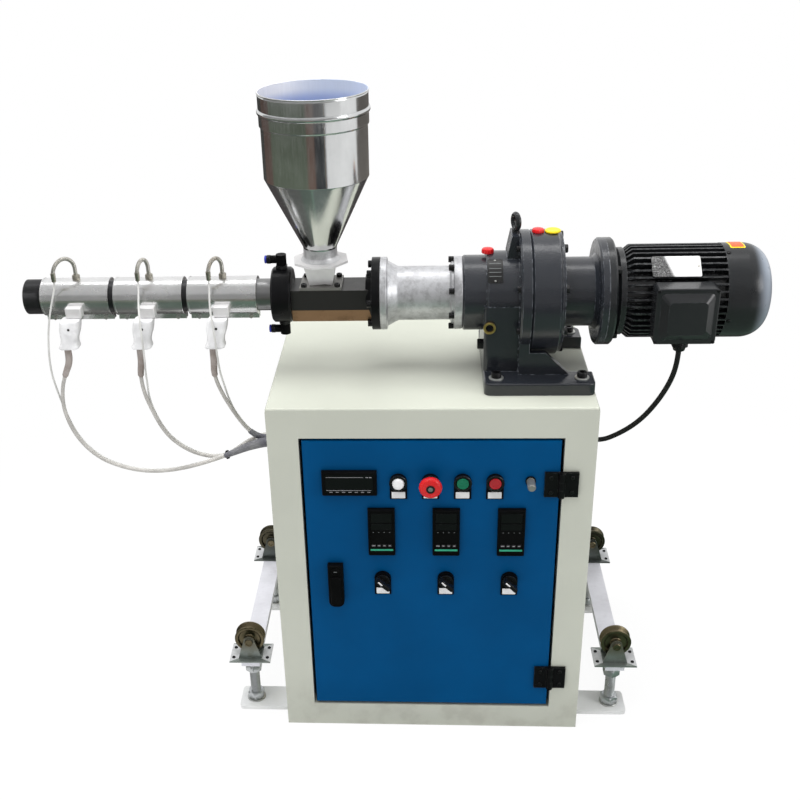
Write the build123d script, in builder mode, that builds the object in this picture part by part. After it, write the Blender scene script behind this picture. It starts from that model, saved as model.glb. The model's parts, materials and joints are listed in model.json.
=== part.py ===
"""Single-screw plastic extruder standing on its own floor cabinet, in millimetres.

The origin is the middle of the cabinet's underside, on the floor. X runs to the right along
the barrel's axis, Y to the back and Z up. The barrel points to -X and the motor to +X.
"""
import math
import os

from build123d import *

os.makedirs("parts", exist_ok=True)

# Cabinet
cabinet_width = 560
cabinet_depth = 460
cabinet_height = 692
sheet = 2
top_thickness = 6
top_edge_radius = 4
stile_width = 54
top_rail_height = 56.5
bottom_rail_height = 50.5
jamb_depth = 24

# Door and its hinges
door_gap = 5
door_depth = 20
door_edge_radius = 3
hinge_leaf_width = 29
hinge_height = 48
hinge_leaf_thickness = 5
hinge_knuckle_radius = 6
hinge_pin_radius = 2.5
hinge_clearance = 0.5
hinge_drop = 83.5
hinge_rise = 69.5
running_clearance = 0.08

# Door furniture, across from the door's middle as shares of its half width, and down from its top edge
meter_share = -0.638
meter_drop = 80.5
meter_width = 96
meter_height = 48
controller_shares = (-0.3937, 0.1222, 0.638)
controller_drop = 180.5
controller_width = 48
controller_height = 96
bezel_thickness = 7
bezel_lip = 2
case_depth = 70
case_clearance = 0.4
button_shares = (-0.2534, -0.0023, 0.2489, 0.5)
button_drop = 78.5
selector_drop = 281.5
legend_width = 30
legend_height = 50
legend_thickness = 2
panel_hole_radius = 11.2
collar_radius = 14.5
collar_height = 6
control_barrel_radius = 10.9
base_depth = 34
cap_radius = 10.3
cap_clearance = 0.3
cap_seat = 6
cap_proud = 3
lamp_height = 9
mushroom_radius = 20
mushroom_height = 13
mushroom_stand = 9
selector_disc_radius = 13
selector_disc_height = 4
selector_bar_length = 24
selector_bar_width = 8
selector_bar_height = 13
selector_angle = 45
speed_share = 0.7738
speed_drop = 77.5
speed_knob_radius = 8
speed_knob_length = 24
speed_bush_radius = 9
speed_bush_height = 3
speed_shaft_radius = 3
speed_shaft_length = 14
lock_share = -0.7783
lock_drop = 294.5
lock_width = 28
lock_height = 91
lock_thickness = 12
lock_bottom_radius = 11
lock_edge_radius = 2

# Undercarriage
lug_length = 102
lug_width = 60
lug_thickness = 8
lug_corner_radius = 8
lug_from_middle = 163
screw_from_side = 72
screw_radius = 10
nut_flats = 30
nut_height = 16
bar_width = 36
bar_thickness = 14
bar_length = 390
bar_bottom = 111
bracket_length = 80
bracket_width = 56
bracket_sheet = 3
bracket_tip_radius = 11
cheek_length = 46
axle_radius = 5
axle_head_radius = 8
axle_head_height = 3
wheel_radius = 29
wheel_width = 20
wheel_groove_depth = 7
wheel_rim = 3
wheel_hub_radius = 9
wheel_side_room = 5
wheel_hub_clearance = 0.3
wheel_height = 168
wheel_from_middle = 174

# Extruder axis
axis_height = 140
axis_forward = 57
drive_face = 55

# Barrel and heaters
barrel_radius = 28
screw_bore_radius = 12.6
bare_barrel_length = 27
band_radius = 33
band_length = 122
band_gap = 9
band_clearance = 0.3
strip_width = 14
strip_height = 8
strip_slit = 4
end_nut_radius = 31
end_nut_length = 32
end_nut_wall = 4
nose_radius = 23
nose_clearance = 0.1
terminal_width = 28
terminal_height = 20
terminal_reach = 13
terminal_drop = 15
plug_width = 36
plug_height = 54
plug_depth = 30
plug_edge_radius = 5
plug_shift = 10
plug_sleeve_radius = 5.5
plug_sleeve_length = 14
plug_exit_shift = 10
probe_radius = 3.5
probe_nut_flats = 12
probe_nut_height = 8
probe_leg = 19
probe_end_rise = 9
probe_forward = 39
probe_reaches = (27, 10, 17)

# Feed
collar_length = 35
cooling_collar_radius = 48.5
cooling_chamfer = 3
elbow_stub_radius = 9
elbow_stub_length = 25
elbow_arm_radius = 7
elbow_arm_length = 24
elbow_collet_radius = 5.5
elbow_collet_length = 5
block_length = 129
block_half_width = 33.5
block_top = 18
block_side_drop = 18
block_bottom = 42
block_bottom_half_width = 24
feed_neck_length = 11
feed_neck_radius = 42
feed_flange_radius = 63.25
feed_flange_thickness = 14
hopper_from_block = 51.5
throat_plate_length = 73
throat_plate_width = 66
throat_plate_thickness = 5
throat_bottom_width = 40
throat_top_width = 56
throat_height = 38
throat_wall = 4
throat_flange_radius = 49.5
throat_flange_thickness = 4
throat_flange_turn = 30
hopper_sheet = 1.2
hopper_neck_radius = 29
hopper_neck_height = 23
hopper_cone_height = 122
hopper_radius = 88.5
hopper_cylinder_height = 140
hopper_collar_height = 54
hopper_collar_step = 2.2
hopper_lap = 10
hopper_rim_radius = 2.5
hopper_bead_drop = 31
hopper_bead_height = 9
hopper_bead_proud = 2.5

# Lantern
lantern_left_flange = 21
lantern_right_flange = 19
lantern_body_length = 102
lantern_body_radius = 46.75
lantern_flange_radius = 63.25
lantern_step = 9
lantern_taper = 10

# Reducer
snout_length = 40
snout_radius = 65
bearing_length = 55
bearing_radius = 72
disc_thickness = 18
ring_radius = 107.5
ring_length = 51
ring_chamfer = 4
cover_length = 4
cover_radius = 103
neck_length = 60
neck_radius = 59.5
neck_flare = 6
motor_flange_radius = 92
motor_flange_thickness = 13.5
foot_left = 36
foot_length = 187
foot_width = 252
foot_thickness = 22
foot_corner_radius = 12
foot_hole_radius = 7
foot_hole_inset = 21
foot_hole_edge = 25
pedestal_left = 36
pedestal_half_width = 74
pedestal_edge_radius = 8
casting_edge = 3
wall_half_width = 88
web_top = 62
web_flat = 45
web_slope = 42
web_sheet = 12
eye_boss_length = 20
eye_boss_slope = 7
eye_boss_half_width = 24
eye_from_disc = 5.5
eye_turn = 18
eye_radius = 12
eye_wire = 4.5
eye_shank_radius = 6
eye_shank_length = 2
plug_cap_radius = 10.5
plug_cap_height = 9
filler_cap_radius = 13.5
filler_cap_height = 6
first_plug_from_face = 43
second_plug_in_ring = 14
filler_in_ring = 39
sight_radius = 10.5
sight_proud = 6
sight_inset = 9
sight_rise = 82
sight_glass_radius = 6.5
sight_glass_depth = 3
drain_flats = 17
drain_length = 10
drain_rise = 62
drain_forward = 46

# Motor
shield_length = 17
shield_radius = 75
shield_chamfer = 9
frame_length = 164
frame_core_radius = 67
frame_fin_radius = 78.5
fin_thickness = 3
fin_count = 40
fin_slope = 14
cowl_straight = 36
cowl_length = 79
cowl_radius = 80.5
cowl_end_radius = 42
cowl_overlap = 6
cowl_end_turn = 90
grille_ring_count = 3
grille_slot = 6
grille_spoke = 7
box_from_frame = 39.5
box_drop = 4.5
box_width = 102
box_height = 97
box_depth = 33
box_edge_radius = 8
lid_rim = 8
lid_bevel = 12
lid_height = 10
rim_edge_radius = 2
boss_width = 86
boss_height = 76
boss_reach = 80
gland_radius = 9
gland_length = 13
gland_in_box = 47.5
gland_box_depth = 20

# Cable entries in the cabinet's sides
entry_reach = 14
left_entry_length = 66
left_entry_width = 24
left_entry_y = -53
left_entry_z = 545
right_entry_radius = 10
right_entry_y = -100
right_entry_z = 563

# Cords, as points of their routes
cable_diameter = 7
lead_diameter = 3.5
motor_cable_diameter = 9
cord_corner_share = 0.45
lead_behind = 6.5
free_point_count = 2
cable_stub = 14
lead_stub = 10
motor_stub = 18

# Places worked out from the sizes above
half_width = cabinet_width / 2
half_depth = cabinet_depth / 2
front_y = -half_depth
wall_top = cabinet_height - top_thickness
opening_half_width = half_width - stile_width
opening_top = cabinet_height - top_rail_height
door_half_width = opening_half_width - door_gap
door_top = opening_top - door_gap
door_bottom = bottom_rail_height + door_gap
meter_across = meter_share * door_half_width
controller_columns = [share * door_half_width for share in controller_shares]
button_columns = [share * door_half_width for share in button_shares]
speed_across = speed_share * door_half_width
lock_across = lock_share * door_half_width
hinge_x = opening_half_width - door_gap / 2
hinge_y = front_y - hinge_knuckle_radius
hinge_heights = (door_top - hinge_drop, door_bottom + hinge_rise)
axis_y = -axis_forward
axis_z = cabinet_height + axis_height

lantern_left = drive_face - lantern_right_flange - lantern_body_length - lantern_left_flange
flange_left = lantern_left - feed_flange_thickness
neck_left = flange_left - feed_neck_length
block_left = neck_left - block_length
collar_left = block_left - collar_length
bands_right = collar_left - bare_barrel_length
band_pitch = band_length + band_gap
band_starts = [bands_right - band_length - (2 - index) * band_pitch for index in range(3)]
nut_right = band_starts[0]
nut_left = nut_right - end_nut_length
nose_left = nut_left + end_nut_wall
hopper_x = block_left + hopper_from_block
bearing_left = drive_face + snout_length
disc_left = bearing_left + bearing_length
ring_left = disc_left + disc_thickness
cover_left = ring_left + ring_length
neck_start = cover_left + cover_length
flange_start = neck_start + neck_length
shield_flange = flange_start + motor_flange_thickness
shield_start = shield_flange + motor_flange_thickness
frame_start = shield_start + shield_length
cowl_start = frame_start + frame_length

front_plane = Plane(origin=(0, front_y, 0), x_dir=(1, 0, 0), z_dir=(0, -1, 0))
axis_plane = Plane(origin=(0, axis_y, axis_z), x_dir=(1, 0, 0), z_dir=(0, -1, 0))
axis_line = Axis((0, axis_y, axis_z), (1, 0, 0))
standing = (Align.CENTER, Align.CENTER, Align.MIN)


def station(x):
    """The plane across the extruder's axis at x, with Y to its right and Z up."""
    return Plane(origin=(x, axis_y, axis_z), x_dir=(0, 1, 0), z_dir=(1, 0, 0))


def level(height):
    """The level plane at a height over the hopper's centre."""
    return Plane(origin=(hopper_x, axis_y, axis_z + height))


def furniture(across, drop, proud=0):
    """The plane on the door's face, or proud of it, with its origin at a piece of furniture."""
    return Plane(origin=(across, front_y - proud, door_top - drop), x_dir=(1, 0, 0), z_dir=(0, -1, 0))


def outline(plane, points):
    """A closed straight-sided face on a plane."""
    with BuildSketch(plane) as face:
        with BuildLine():
            Polyline(*points, close=True)
        make_face()
    return face.sketch


def save(piece, name):
    """Label a finished piece and write it."""
    piece.part.label = name
    export_step(piece.part, f"parts/{name}.step")


# Cabinet walls
with BuildPart() as cabinet_top:
    with Locations((0, 0, wall_top)):
        Box(cabinet_width, cabinet_depth, top_thickness, align=standing)
    fillet(cabinet_top.edges().filter_by(Axis.Z), top_edge_radius)
    fillet(cabinet_top.faces().sort_by(Axis.Z)[-1].edges(), top_edge_radius)
save(cabinet_top, "cabinet_top")

with BuildPart() as cabinet_left_side:
    with Locations((-half_width, 0, 0)):
        Box(sheet, cabinet_depth, wall_top, align=(Align.MIN, Align.CENTER, Align.MIN))
save(cabinet_left_side, "cabinet_left_side")

with BuildPart() as cabinet_right_side:
    with Locations((half_width, 0, 0)):
        Box(sheet, cabinet_depth, wall_top, align=(Align.MAX, Align.CENTER, Align.MIN))
save(cabinet_right_side, "cabinet_right_side")

inner_width = cabinet_width - 2 * sheet
with BuildPart() as cabinet_back:
    with Locations((0, half_depth, 0)):
        Box(inner_width, sheet, wall_top, align=(Align.CENTER, Align.MAX, Align.MIN))
save(cabinet_back, "cabinet_back")

with BuildPart() as cabinet_floor:
    with Locations((0, front_y, 0)):
        Box(inner_width, cabinet_depth - sheet, sheet, align=(Align.CENTER, Align.MIN, Align.MIN))
save(cabinet_floor, "cabinet_floor")

# Front frame, each member a face sheet folded back along the doorway
face_back = front_y + sheet
jamb_back = front_y + jamb_depth
with BuildPart() as front_frame_stiles:
    stile = [
        (half_width - sheet, front_y),
        (opening_half_width, front_y),
        (opening_half_width, jamb_back),
        (opening_half_width + sheet, jamb_back),
        (opening_half_width + sheet, face_back),
        (half_width - sheet, face_back),
    ]
    extrude(outline(Plane.XY.offset(sheet), stile), amount=wall_top - sheet)
    mirror(about=Plane.YZ)
save(front_frame_stiles, "front_frame_stiles")

with BuildPart() as front_frame_rails:
    rail_plane = Plane(origin=(-opening_half_width, 0, 0), x_dir=(0, 1, 0), z_dir=(1, 0, 0))
    top_rail = [
        (front_y, opening_top),
        (jamb_back, opening_top),
        (jamb_back, opening_top + sheet),
        (face_back, opening_top + sheet),
        (face_back, wall_top),
        (front_y, wall_top),
    ]
    bottom_rail = [
        (front_y, sheet),
        (face_back, sheet),
        (face_back, bottom_rail_height - sheet),
        (jamb_back, bottom_rail_height - sheet),
        (jamb_back, bottom_rail_height),
        (front_y, bottom_rail_height),
    ]
    extrude(outline(rail_plane, top_rail), amount=2 * opening_half_width)
    extrude(outline(rail_plane, bottom_rail), amount=2 * opening_half_width)
save(front_frame_rails, "front_frame_rails")

# Hinges: the frame's leaf has the outer knuckles and the pin, the door's leaf the middle knuckle
knuckle_height = hinge_height / 3
knuckle_gap_radius = hinge_knuckle_radius + hinge_clearance


with BuildPart() as hinge_frame_leaves:
    for hinge_z in hinge_heights:
        bottom = hinge_z - hinge_height / 2
        middle_bottom = bottom + knuckle_height - hinge_clearance / 2
        middle_length = knuckle_height + hinge_clearance
        with Locations((hinge_x, front_y, hinge_z)):
            Box(
                hinge_leaf_width,
                hinge_leaf_thickness,
                hinge_height,
                align=(Align.MIN, Align.MAX, Align.CENTER),
            )
        with Locations((hinge_x, hinge_y, bottom)):
            Cylinder(hinge_knuckle_radius, hinge_height, align=standing)
        with Locations((hinge_x, hinge_y, middle_bottom)):
            Cylinder(knuckle_gap_radius, middle_length, align=standing, mode=Mode.SUBTRACT)
        with Locations((hinge_x, hinge_y, bottom)):
            Cylinder(hinge_pin_radius, hinge_height, align=standing)
save(hinge_frame_leaves, "hinge_frame_leaves")

with BuildPart() as hinge_door_leaves:
    for hinge_z in hinge_heights:
        bottom = hinge_z - hinge_height / 2
        outer_length = knuckle_height + hinge_clearance / 2
        with Locations((hinge_x, front_y, hinge_z)):
            Box(
                hinge_leaf_width,
                hinge_leaf_thickness,
                hinge_height,
                align=(Align.MAX, Align.MAX, Align.CENTER),
            )
        with Locations((hinge_x, hinge_y, bottom)):
            Cylinder(knuckle_gap_radius, outer_length, align=standing, mode=Mode.SUBTRACT)
        with Locations((hinge_x, hinge_y, bottom + hinge_height - outer_length)):
            Cylinder(knuckle_gap_radius, outer_length, align=standing, mode=Mode.SUBTRACT)
        with Locations((hinge_x, hinge_y, bottom + outer_length)):
            Cylinder(hinge_knuckle_radius, hinge_height - 2 * outer_length, align=standing)
        with Locations((hinge_x, hinge_y, bottom)):
            Cylinder(
                hinge_pin_radius + running_clearance, hinge_height, align=standing, mode=Mode.SUBTRACT
            )
save(hinge_door_leaves, "hinge_door_leaves")

# Door: a folded pan with a cut-out for each piece of furniture
round_places = [(x, door_top - button_drop) for x in button_columns]
round_places += [(x, door_top - selector_drop) for x in controller_columns]
meter_place = (meter_across, door_top - meter_drop)
controller_places = [(x, door_top - controller_drop) for x in controller_columns]
speed_place = (speed_across, door_top - speed_drop)

with BuildPart() as door_panel:
    with BuildSketch(front_plane):
        with Locations((0, (door_top + door_bottom) / 2)):
            Rectangle(2 * door_half_width, door_top - door_bottom)
    extrude(amount=-door_depth)
    fillet(door_panel.faces().sort_by(Axis.Y)[0].edges(), door_edge_radius)
    hollow_width = 2 * (door_half_width - sheet)
    hollow_height = door_top - door_bottom - 2 * sheet
    with BuildSketch(front_plane.offset(-sheet)):
        with Locations((0, (door_top + door_bottom) / 2)):
            Rectangle(hollow_width, hollow_height)
    extrude(amount=sheet - door_depth, mode=Mode.SUBTRACT)
    with BuildSketch(front_plane):
        with Locations(meter_place):
            Rectangle(meter_width - 2 * bezel_lip, meter_height - 2 * bezel_lip)
        with Locations(*controller_places):
            Rectangle(controller_width - 2 * bezel_lip, controller_height - 2 * bezel_lip)
        with Locations(*round_places):
            Circle(panel_hole_radius)
        with Locations(speed_place):
            Circle(speed_shaft_radius + cap_clearance)
    extrude(amount=-door_depth, mode=Mode.SUBTRACT)
save(door_panel, "door_panel")

with BuildPart() as door_lock:
    with BuildSketch(furniture(lock_across, lock_drop)) as lock_face:
        Rectangle(lock_width, lock_height)
        fillet(lock_face.vertices().sort_by(Axis.Y)[:2], lock_bottom_radius)
    extrude(amount=lock_thickness)
    lock_front = door_lock.faces().sort_by(Axis.Y)[0]
    fillet(lock_front.edges(), lock_edge_radius)
save(door_lock, "door_lock")


def panel_instrument(place, width, height):
    """A panel-mounted instrument: its bezel on the door and its case through the cut-out."""
    with BuildPart() as instrument:
        with BuildSketch(front_plane):
            with Locations(place):
                Rectangle(width, height)
        extrude(amount=bezel_thickness)
        fillet(instrument.faces().sort_by(Axis.Y)[0].edges(), bezel_lip)
        with BuildSketch(front_plane):
            with Locations(place):
                Rectangle(
                    width - 2 * bezel_lip - 2 * case_clearance, height - 2 * bezel_lip - 2 * case_clearance
                )
        extrude(amount=-case_depth)
    return instrument.part


with BuildPart() as speed_meter:
    add(panel_instrument(meter_place, meter_width, meter_height))
save(speed_meter, "speed_meter")

with BuildPart() as temperature_controllers:
    for place in controller_places:
        add(panel_instrument(place, controller_width, controller_height))
save(temperature_controllers, "temperature_controllers")

# Bases of the buttons and selectors: legend plate, collar and threaded barrel through the door
legend_round = legend_width / 2
legend_tail = legend_height - legend_round
with BuildPart() as control_bases:
    with BuildSketch(front_plane):
        with Locations(*round_places):
            Circle(legend_round)
            Rectangle(legend_width, legend_tail, align=(Align.CENTER, Align.MAX))
    extrude(amount=legend_thickness)
    with BuildSketch(front_plane.offset(legend_thickness)):
        with Locations(*round_places):
            Circle(collar_radius)
    extrude(amount=collar_height)
    with BuildSketch(front_plane):
        with Locations(*round_places):
            Circle(control_barrel_radius)
    extrude(amount=-base_depth)
    with BuildSketch(front_plane.offset(legend_thickness + collar_height)):
        with Locations(*round_places):
            Circle(cap_radius + cap_clearance)
    extrude(amount=-collar_height - legend_thickness - cap_seat, mode=Mode.SUBTRACT)
    with BuildSketch(front_plane):
        with Locations(speed_place):
            Circle(speed_bush_radius)
    extrude(amount=speed_bush_height)
    with BuildSketch(front_plane.offset(speed_bush_height)):
        with Locations(speed_place):
            Circle(speed_shaft_radius)
    extrude(amount=speed_shaft_length)
    with BuildSketch(front_plane):
        with Locations(speed_place):
            Circle(speed_shaft_radius)
    extrude(amount=-base_depth)
save(control_bases, "control_bases")

collar_front = legend_thickness + collar_height


def push_cap(column):
    """A round push button's cap in its collar."""
    with BuildPart() as cap:
        with BuildSketch(furniture(column, button_drop)):
            Circle(cap_radius)
        extrude(amount=collar_front + cap_proud)
        fillet(cap.faces().sort_by(Axis.Y)[0].edges(), cap_proud / 2)
    return cap


with BuildPart() as indicator_lamp:
    with BuildSketch(furniture(button_columns[0], button_drop, -cap_seat)):
        Circle(cap_radius)
    extrude(amount=cap_seat + collar_front + lamp_height)
    fillet(indicator_lamp.faces().sort_by(Axis.Y)[0].edges(), lamp_height / 2)
save(indicator_lamp, "indicator_lamp")

with BuildPart() as emergency_stop:
    head_back = collar_front + mushroom_stand
    with BuildSketch(furniture(button_columns[1], button_drop)):
        Circle(cap_radius)
    extrude(amount=head_back)
    with BuildSketch(furniture(button_columns[1], button_drop, head_back)):
        Circle(mushroom_radius)
    extrude(amount=mushroom_height)
    fillet(emergency_stop.faces().sort_by(Axis.Y)[0].edges(), mushroom_height / 2)
save(emergency_stop, "emergency_stop")

save(push_cap(button_columns[2]), "start_button")
save(push_cap(button_columns[3]), "stop_button")

for index, column in enumerate(controller_columns):
    with BuildPart() as selector_knob:
        with BuildSketch(furniture(column, selector_drop)):
            Circle(cap_radius)
        extrude(amount=collar_front + cap_clearance)
        with BuildSketch(furniture(column, selector_drop, collar_front + cap_clearance)):
            Circle(selector_disc_radius)
        extrude(amount=selector_disc_height)
        disc_front = collar_front + cap_clearance + selector_disc_height
        with BuildSketch(furniture(column, selector_drop, disc_front)):
            SlotOverall(selector_bar_length, selector_bar_width, rotation=90 + selector_angle)
        extrude(amount=selector_bar_height)
    save(selector_knob, f"selector_knob_{index + 1}")

with BuildPart() as speed_knob:
    with BuildSketch(furniture(speed_across, speed_drop, speed_bush_height + cap_clearance)):
        Circle(speed_knob_radius)
    extrude(amount=speed_knob_length)
    fillet(speed_knob.faces().sort_by(Axis.Y)[0].edges(), cap_proud / 2)
    with BuildSketch(furniture(speed_across, speed_drop, speed_bush_height + cap_clearance)):
        Circle(speed_shaft_radius + running_clearance)
    extrude(amount=speed_shaft_length, mode=Mode.SUBTRACT)
save(speed_knob, "speed_knob")

# Undercarriage at both sides
screw_x = half_width + screw_from_side
lug_places = [(side, end) for side in (-1, 1) for end in (-1, 1)]

with BuildPart() as floor_lugs:
    with Locations((half_width, -lug_from_middle, 0)):
        Box(lug_length, lug_width, lug_thickness, align=(Align.MIN, Align.CENTER, Align.MIN))
    outer_edges = floor_lugs.edges().filter_by(Axis.Z).group_by(Axis.X)[-1]
    fillet(outer_edges, lug_corner_radius)
    mirror(about=Plane.XZ)
    mirror(about=Plane.YZ)
save(floor_lugs, "floor_lugs")

with BuildPart() as jack_screws:
    with BuildSketch(Plane.XY.offset(lug_thickness)):
        with Locations(*[(side * screw_x, end * lug_from_middle) for side, end in lug_places]):
            Circle(screw_radius)
    extrude(amount=bar_bottom - lug_thickness)
    for nut_bottom in (lug_thickness, bar_bottom - nut_height):
        with BuildSketch(Plane.XY.offset(nut_bottom)):
            with Locations(*[(side * screw_x, end * lug_from_middle) for side, end in lug_places]):
                RegularPolygon(nut_flats / 2, 6, major_radius=False)
        extrude(amount=nut_height)
save(jack_screws, "jack_screws")

with BuildPart() as tie_bars:
    with BuildSketch(Plane.XY.offset(bar_bottom)):
        with Locations((-screw_x, 0), (screw_x, 0)):
            Rectangle(bar_width, bar_length)
    extrude(amount=bar_thickness)
save(tie_bars, "tie_bars")

bracket_bottom = bar_bottom + bar_thickness
plate_inside = wheel_width / 2 + wheel_side_room
plate_outside = plate_inside + bracket_sheet
axle_rise = wheel_height - bracket_bottom
with BuildPart() as wheel_brackets:
    for side, end in lug_places:
        centre = (side * screw_x, end * wheel_from_middle, bracket_bottom)
        with Locations(centre):
            Box(bracket_length, bracket_width, bracket_sheet, align=standing)
        for plate_y in (-plate_outside, plate_inside):
            cheek_plane = Plane(
                origin=(centre[0], centre[1] + plate_y + bracket_sheet, bracket_bottom),
                x_dir=(1, 0, 0),
                z_dir=(0, -1, 0),
            )
            with BuildSketch(cheek_plane):
                with BuildLine():
                    Polyline(
                        (-cheek_length / 2, bracket_sheet),
                        (cheek_length / 2, bracket_sheet),
                        (bracket_tip_radius, axle_rise),
                        (-bracket_tip_radius, axle_rise),
                        close=True,
                    )
                make_face()
                with Locations((0, axle_rise)):
                    Circle(bracket_tip_radius)
            extrude(amount=bracket_sheet)
        axle_start = centre[1] + plate_outside + axle_head_height
        axle_plane = Plane(origin=(centre[0], axle_start, wheel_height), x_dir=(1, 0, 0), z_dir=(0, -1, 0))
        with BuildSketch(axle_plane):
            Circle(axle_radius)
        extrude(amount=2 * (plate_outside + axle_head_height))
        for head_offset in (0, 2 * plate_outside + axle_head_height):
            with BuildSketch(axle_plane.offset(head_offset)):
                Circle(axle_head_radius)
            extrude(amount=axle_head_height)
save(wheel_brackets, "wheel_brackets")

wheel_half = wheel_width / 2
hub_half = plate_inside - wheel_hub_clearance
groove_half = wheel_half - wheel_rim
wheel_bore = axle_radius + running_clearance
wheel_profile = [
    (-hub_half, wheel_bore),
    (hub_half, wheel_bore),
    (hub_half, wheel_hub_radius),
    (wheel_half, wheel_hub_radius),
    (wheel_half, wheel_radius),
    (groove_half, wheel_radius),
    (0, wheel_radius - wheel_groove_depth),
    (-groove_half, wheel_radius),
    (-wheel_half, wheel_radius),
    (-wheel_half, wheel_hub_radius),
    (-hub_half, wheel_hub_radius),
]
side_names = {-1: "left", 1: "right"}
end_names = {-1: "front", 1: "rear"}
for side, end in lug_places:
    wheel_centre = (side * screw_x, end * wheel_from_middle, wheel_height)
    wheel_plane = Plane(origin=wheel_centre, x_dir=(0, 1, 0), z_dir=(1, 0, 0))
    with BuildPart() as track_wheel:
        revolve(outline(wheel_plane, wheel_profile), axis=Axis(wheel_centre, (0, 1, 0)))
    save(track_wheel, f"track_wheel_{end_names[end]}_{side_names[side]}")

# Barrel with its end nut
with BuildPart() as barrel:
    barrel_profile = [
        (nose_left, screw_bore_radius),
        (nose_left, nose_radius),
        (nut_right, nose_radius),
        (nut_right, barrel_radius),
        (block_left, barrel_radius),
        (block_left, screw_bore_radius),
    ]
    revolve(outline(axis_plane, barrel_profile), axis=axis_line)
save(barrel, "barrel")

with BuildPart() as barrel_end_nut:
    nut_profile = [
        (nut_left, screw_bore_radius),
        (nut_left, end_nut_radius),
        (nut_right, end_nut_radius),
        (nut_right, nose_radius + nose_clearance),
        (nose_left, nose_radius + nose_clearance),
        (nose_left, screw_bore_radius),
    ]
    revolve(outline(axis_plane, nut_profile), axis=axis_line)
save(barrel_end_nut, "barrel_end_nut")

# Heater bands, each with its clamp strip below
with BuildPart() as heater_bands:
    for start in band_starts:
        end_x = start + band_length
        band_profile = [
            (start, barrel_radius + band_clearance),
            (start, band_radius),
            (end_x, band_radius),
            (end_x, barrel_radius + band_clearance),
        ]
        revolve(outline(axis_plane, band_profile), axis=axis_line)
        with BuildSketch(station(start)):
            with Locations((0, -band_radius)):
                Rectangle(strip_width, 2 * strip_height)
            Circle(barrel_radius + band_clearance, mode=Mode.SUBTRACT)
        extrude(amount=band_length)
        with BuildSketch(station(start)):
            with Locations((0, -barrel_radius)):
                Rectangle(strip_slit, 2 * (strip_height + band_radius - barrel_radius))
        extrude(amount=band_length, mode=Mode.SUBTRACT)
save(heater_bands, "heater_bands")

# Ceramic plugs hanging from the terminals at the bands' front
terminal_front = band_radius + terminal_reach
plug_top = axis_z - terminal_drop - terminal_height / 2
plug_y = axis_y - terminal_front
plug_middles = [start + band_length / 2 - plug_shift for start in band_starts]
with BuildPart() as heater_plugs:
    for middle in plug_middles:
        with Locations((middle + plug_shift, axis_y, plug_top)):
            Box(terminal_width, terminal_front, terminal_height, align=(Align.CENTER, Align.MAX, Align.MIN))
    hollow_profile = [
        (nut_right, 0),
        (nut_right, band_radius),
        (bands_right, band_radius),
        (bands_right, 0),
    ]
    revolve(outline(axis_plane, hollow_profile), axis=axis_line, mode=Mode.SUBTRACT)
    for middle in plug_middles:
        with BuildSketch(Plane(origin=(middle, plug_y, plug_top))):
            RectangleRounded(plug_width, plug_depth, plug_edge_radius)
        extrude(amount=-plug_height)
        with BuildSketch(Plane(origin=(middle - plug_exit_shift, plug_y, plug_top - plug_height))):
            Circle(plug_sleeve_radius)
        extrude(amount=-plug_sleeve_length)
save(heater_plugs, "heater_plugs")

# Thermocouples: a probe in the band's top whose armour arches over to the front
band_top = axis_z + band_radius
probe_places = [start + band_length / 2 for start in band_starts]
with BuildPart() as thermocouples:
    for probe_x, reach in zip(probe_places, probe_reaches):
        span = math.hypot(reach, probe_forward)
        arch_plane = Plane(
            origin=(probe_x, axis_y, band_top),
            x_dir=(-reach, -probe_forward, 0),
            z_dir=(-probe_forward, reach, 0),
        )
        with BuildLine(arch_plane) as arch:
            Line((0, 0), (0, probe_leg))
            ThreePointArc((0, probe_leg), (span / 2, probe_leg + span / 2), (span, probe_leg))
            Line((span, probe_leg), (span, probe_end_rise))
        with BuildSketch(Plane(origin=(probe_x, axis_y, band_top))) as armour:
            Circle(probe_radius)
        sweep(armour.sketch, path=arch.wire())
        with BuildSketch(Plane(origin=(probe_x, axis_y, band_top))):
            RegularPolygon(probe_nut_flats / 2, 6, major_radius=False)
        extrude(amount=probe_nut_height)
save(thermocouples, "thermocouples")

# Water-cooled collar and its push-in elbows
with BuildPart() as cooling_collar:
    cooling_profile = [
        (collar_left, barrel_radius + nose_clearance),
        (collar_left, cooling_collar_radius - cooling_chamfer),
        (collar_left + cooling_chamfer, cooling_collar_radius),
        (block_left - cooling_chamfer, cooling_collar_radius),
        (block_left, cooling_collar_radius - cooling_chamfer),
        (block_left, barrel_radius + nose_clearance),
    ]
    revolve(outline(axis_plane, cooling_profile), axis=axis_line)
save(cooling_collar, "cooling_collar")

elbow_x = collar_left + collar_length / 2
with BuildPart() as water_elbows:
    stub_reach = cooling_collar_radius + elbow_stub_length
    for direction in (1, -1):
        with BuildSketch(Plane(origin=(elbow_x, axis_y, axis_z), z_dir=(0, 0, direction))):
            Circle(elbow_stub_radius)
        extrude(amount=stub_reach)
    solid_collar = [
        (collar_left, 0),
        (collar_left, cooling_collar_radius),
        (block_left, cooling_collar_radius),
        (block_left, 0),
    ]
    revolve(outline(axis_plane, solid_collar), axis=axis_line, mode=Mode.SUBTRACT)
    for direction in (1, -1):
        arm_z = axis_z + direction * (stub_reach - elbow_stub_radius)
        with BuildSketch(Plane(origin=(elbow_x, axis_y, arm_z), x_dir=(0, 1, 0), z_dir=(-1, 0, 0))):
            Circle(elbow_arm_radius)
        extrude(amount=elbow_arm_length)
        collet_x = elbow_x - elbow_arm_length
        with BuildSketch(Plane(origin=(collet_x, axis_y, arm_z), x_dir=(0, 1, 0), z_dir=(-1, 0, 0))):
            Circle(elbow_collet_radius)
        extrude(amount=elbow_collet_length)
save(water_elbows, "water_elbows")

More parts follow.
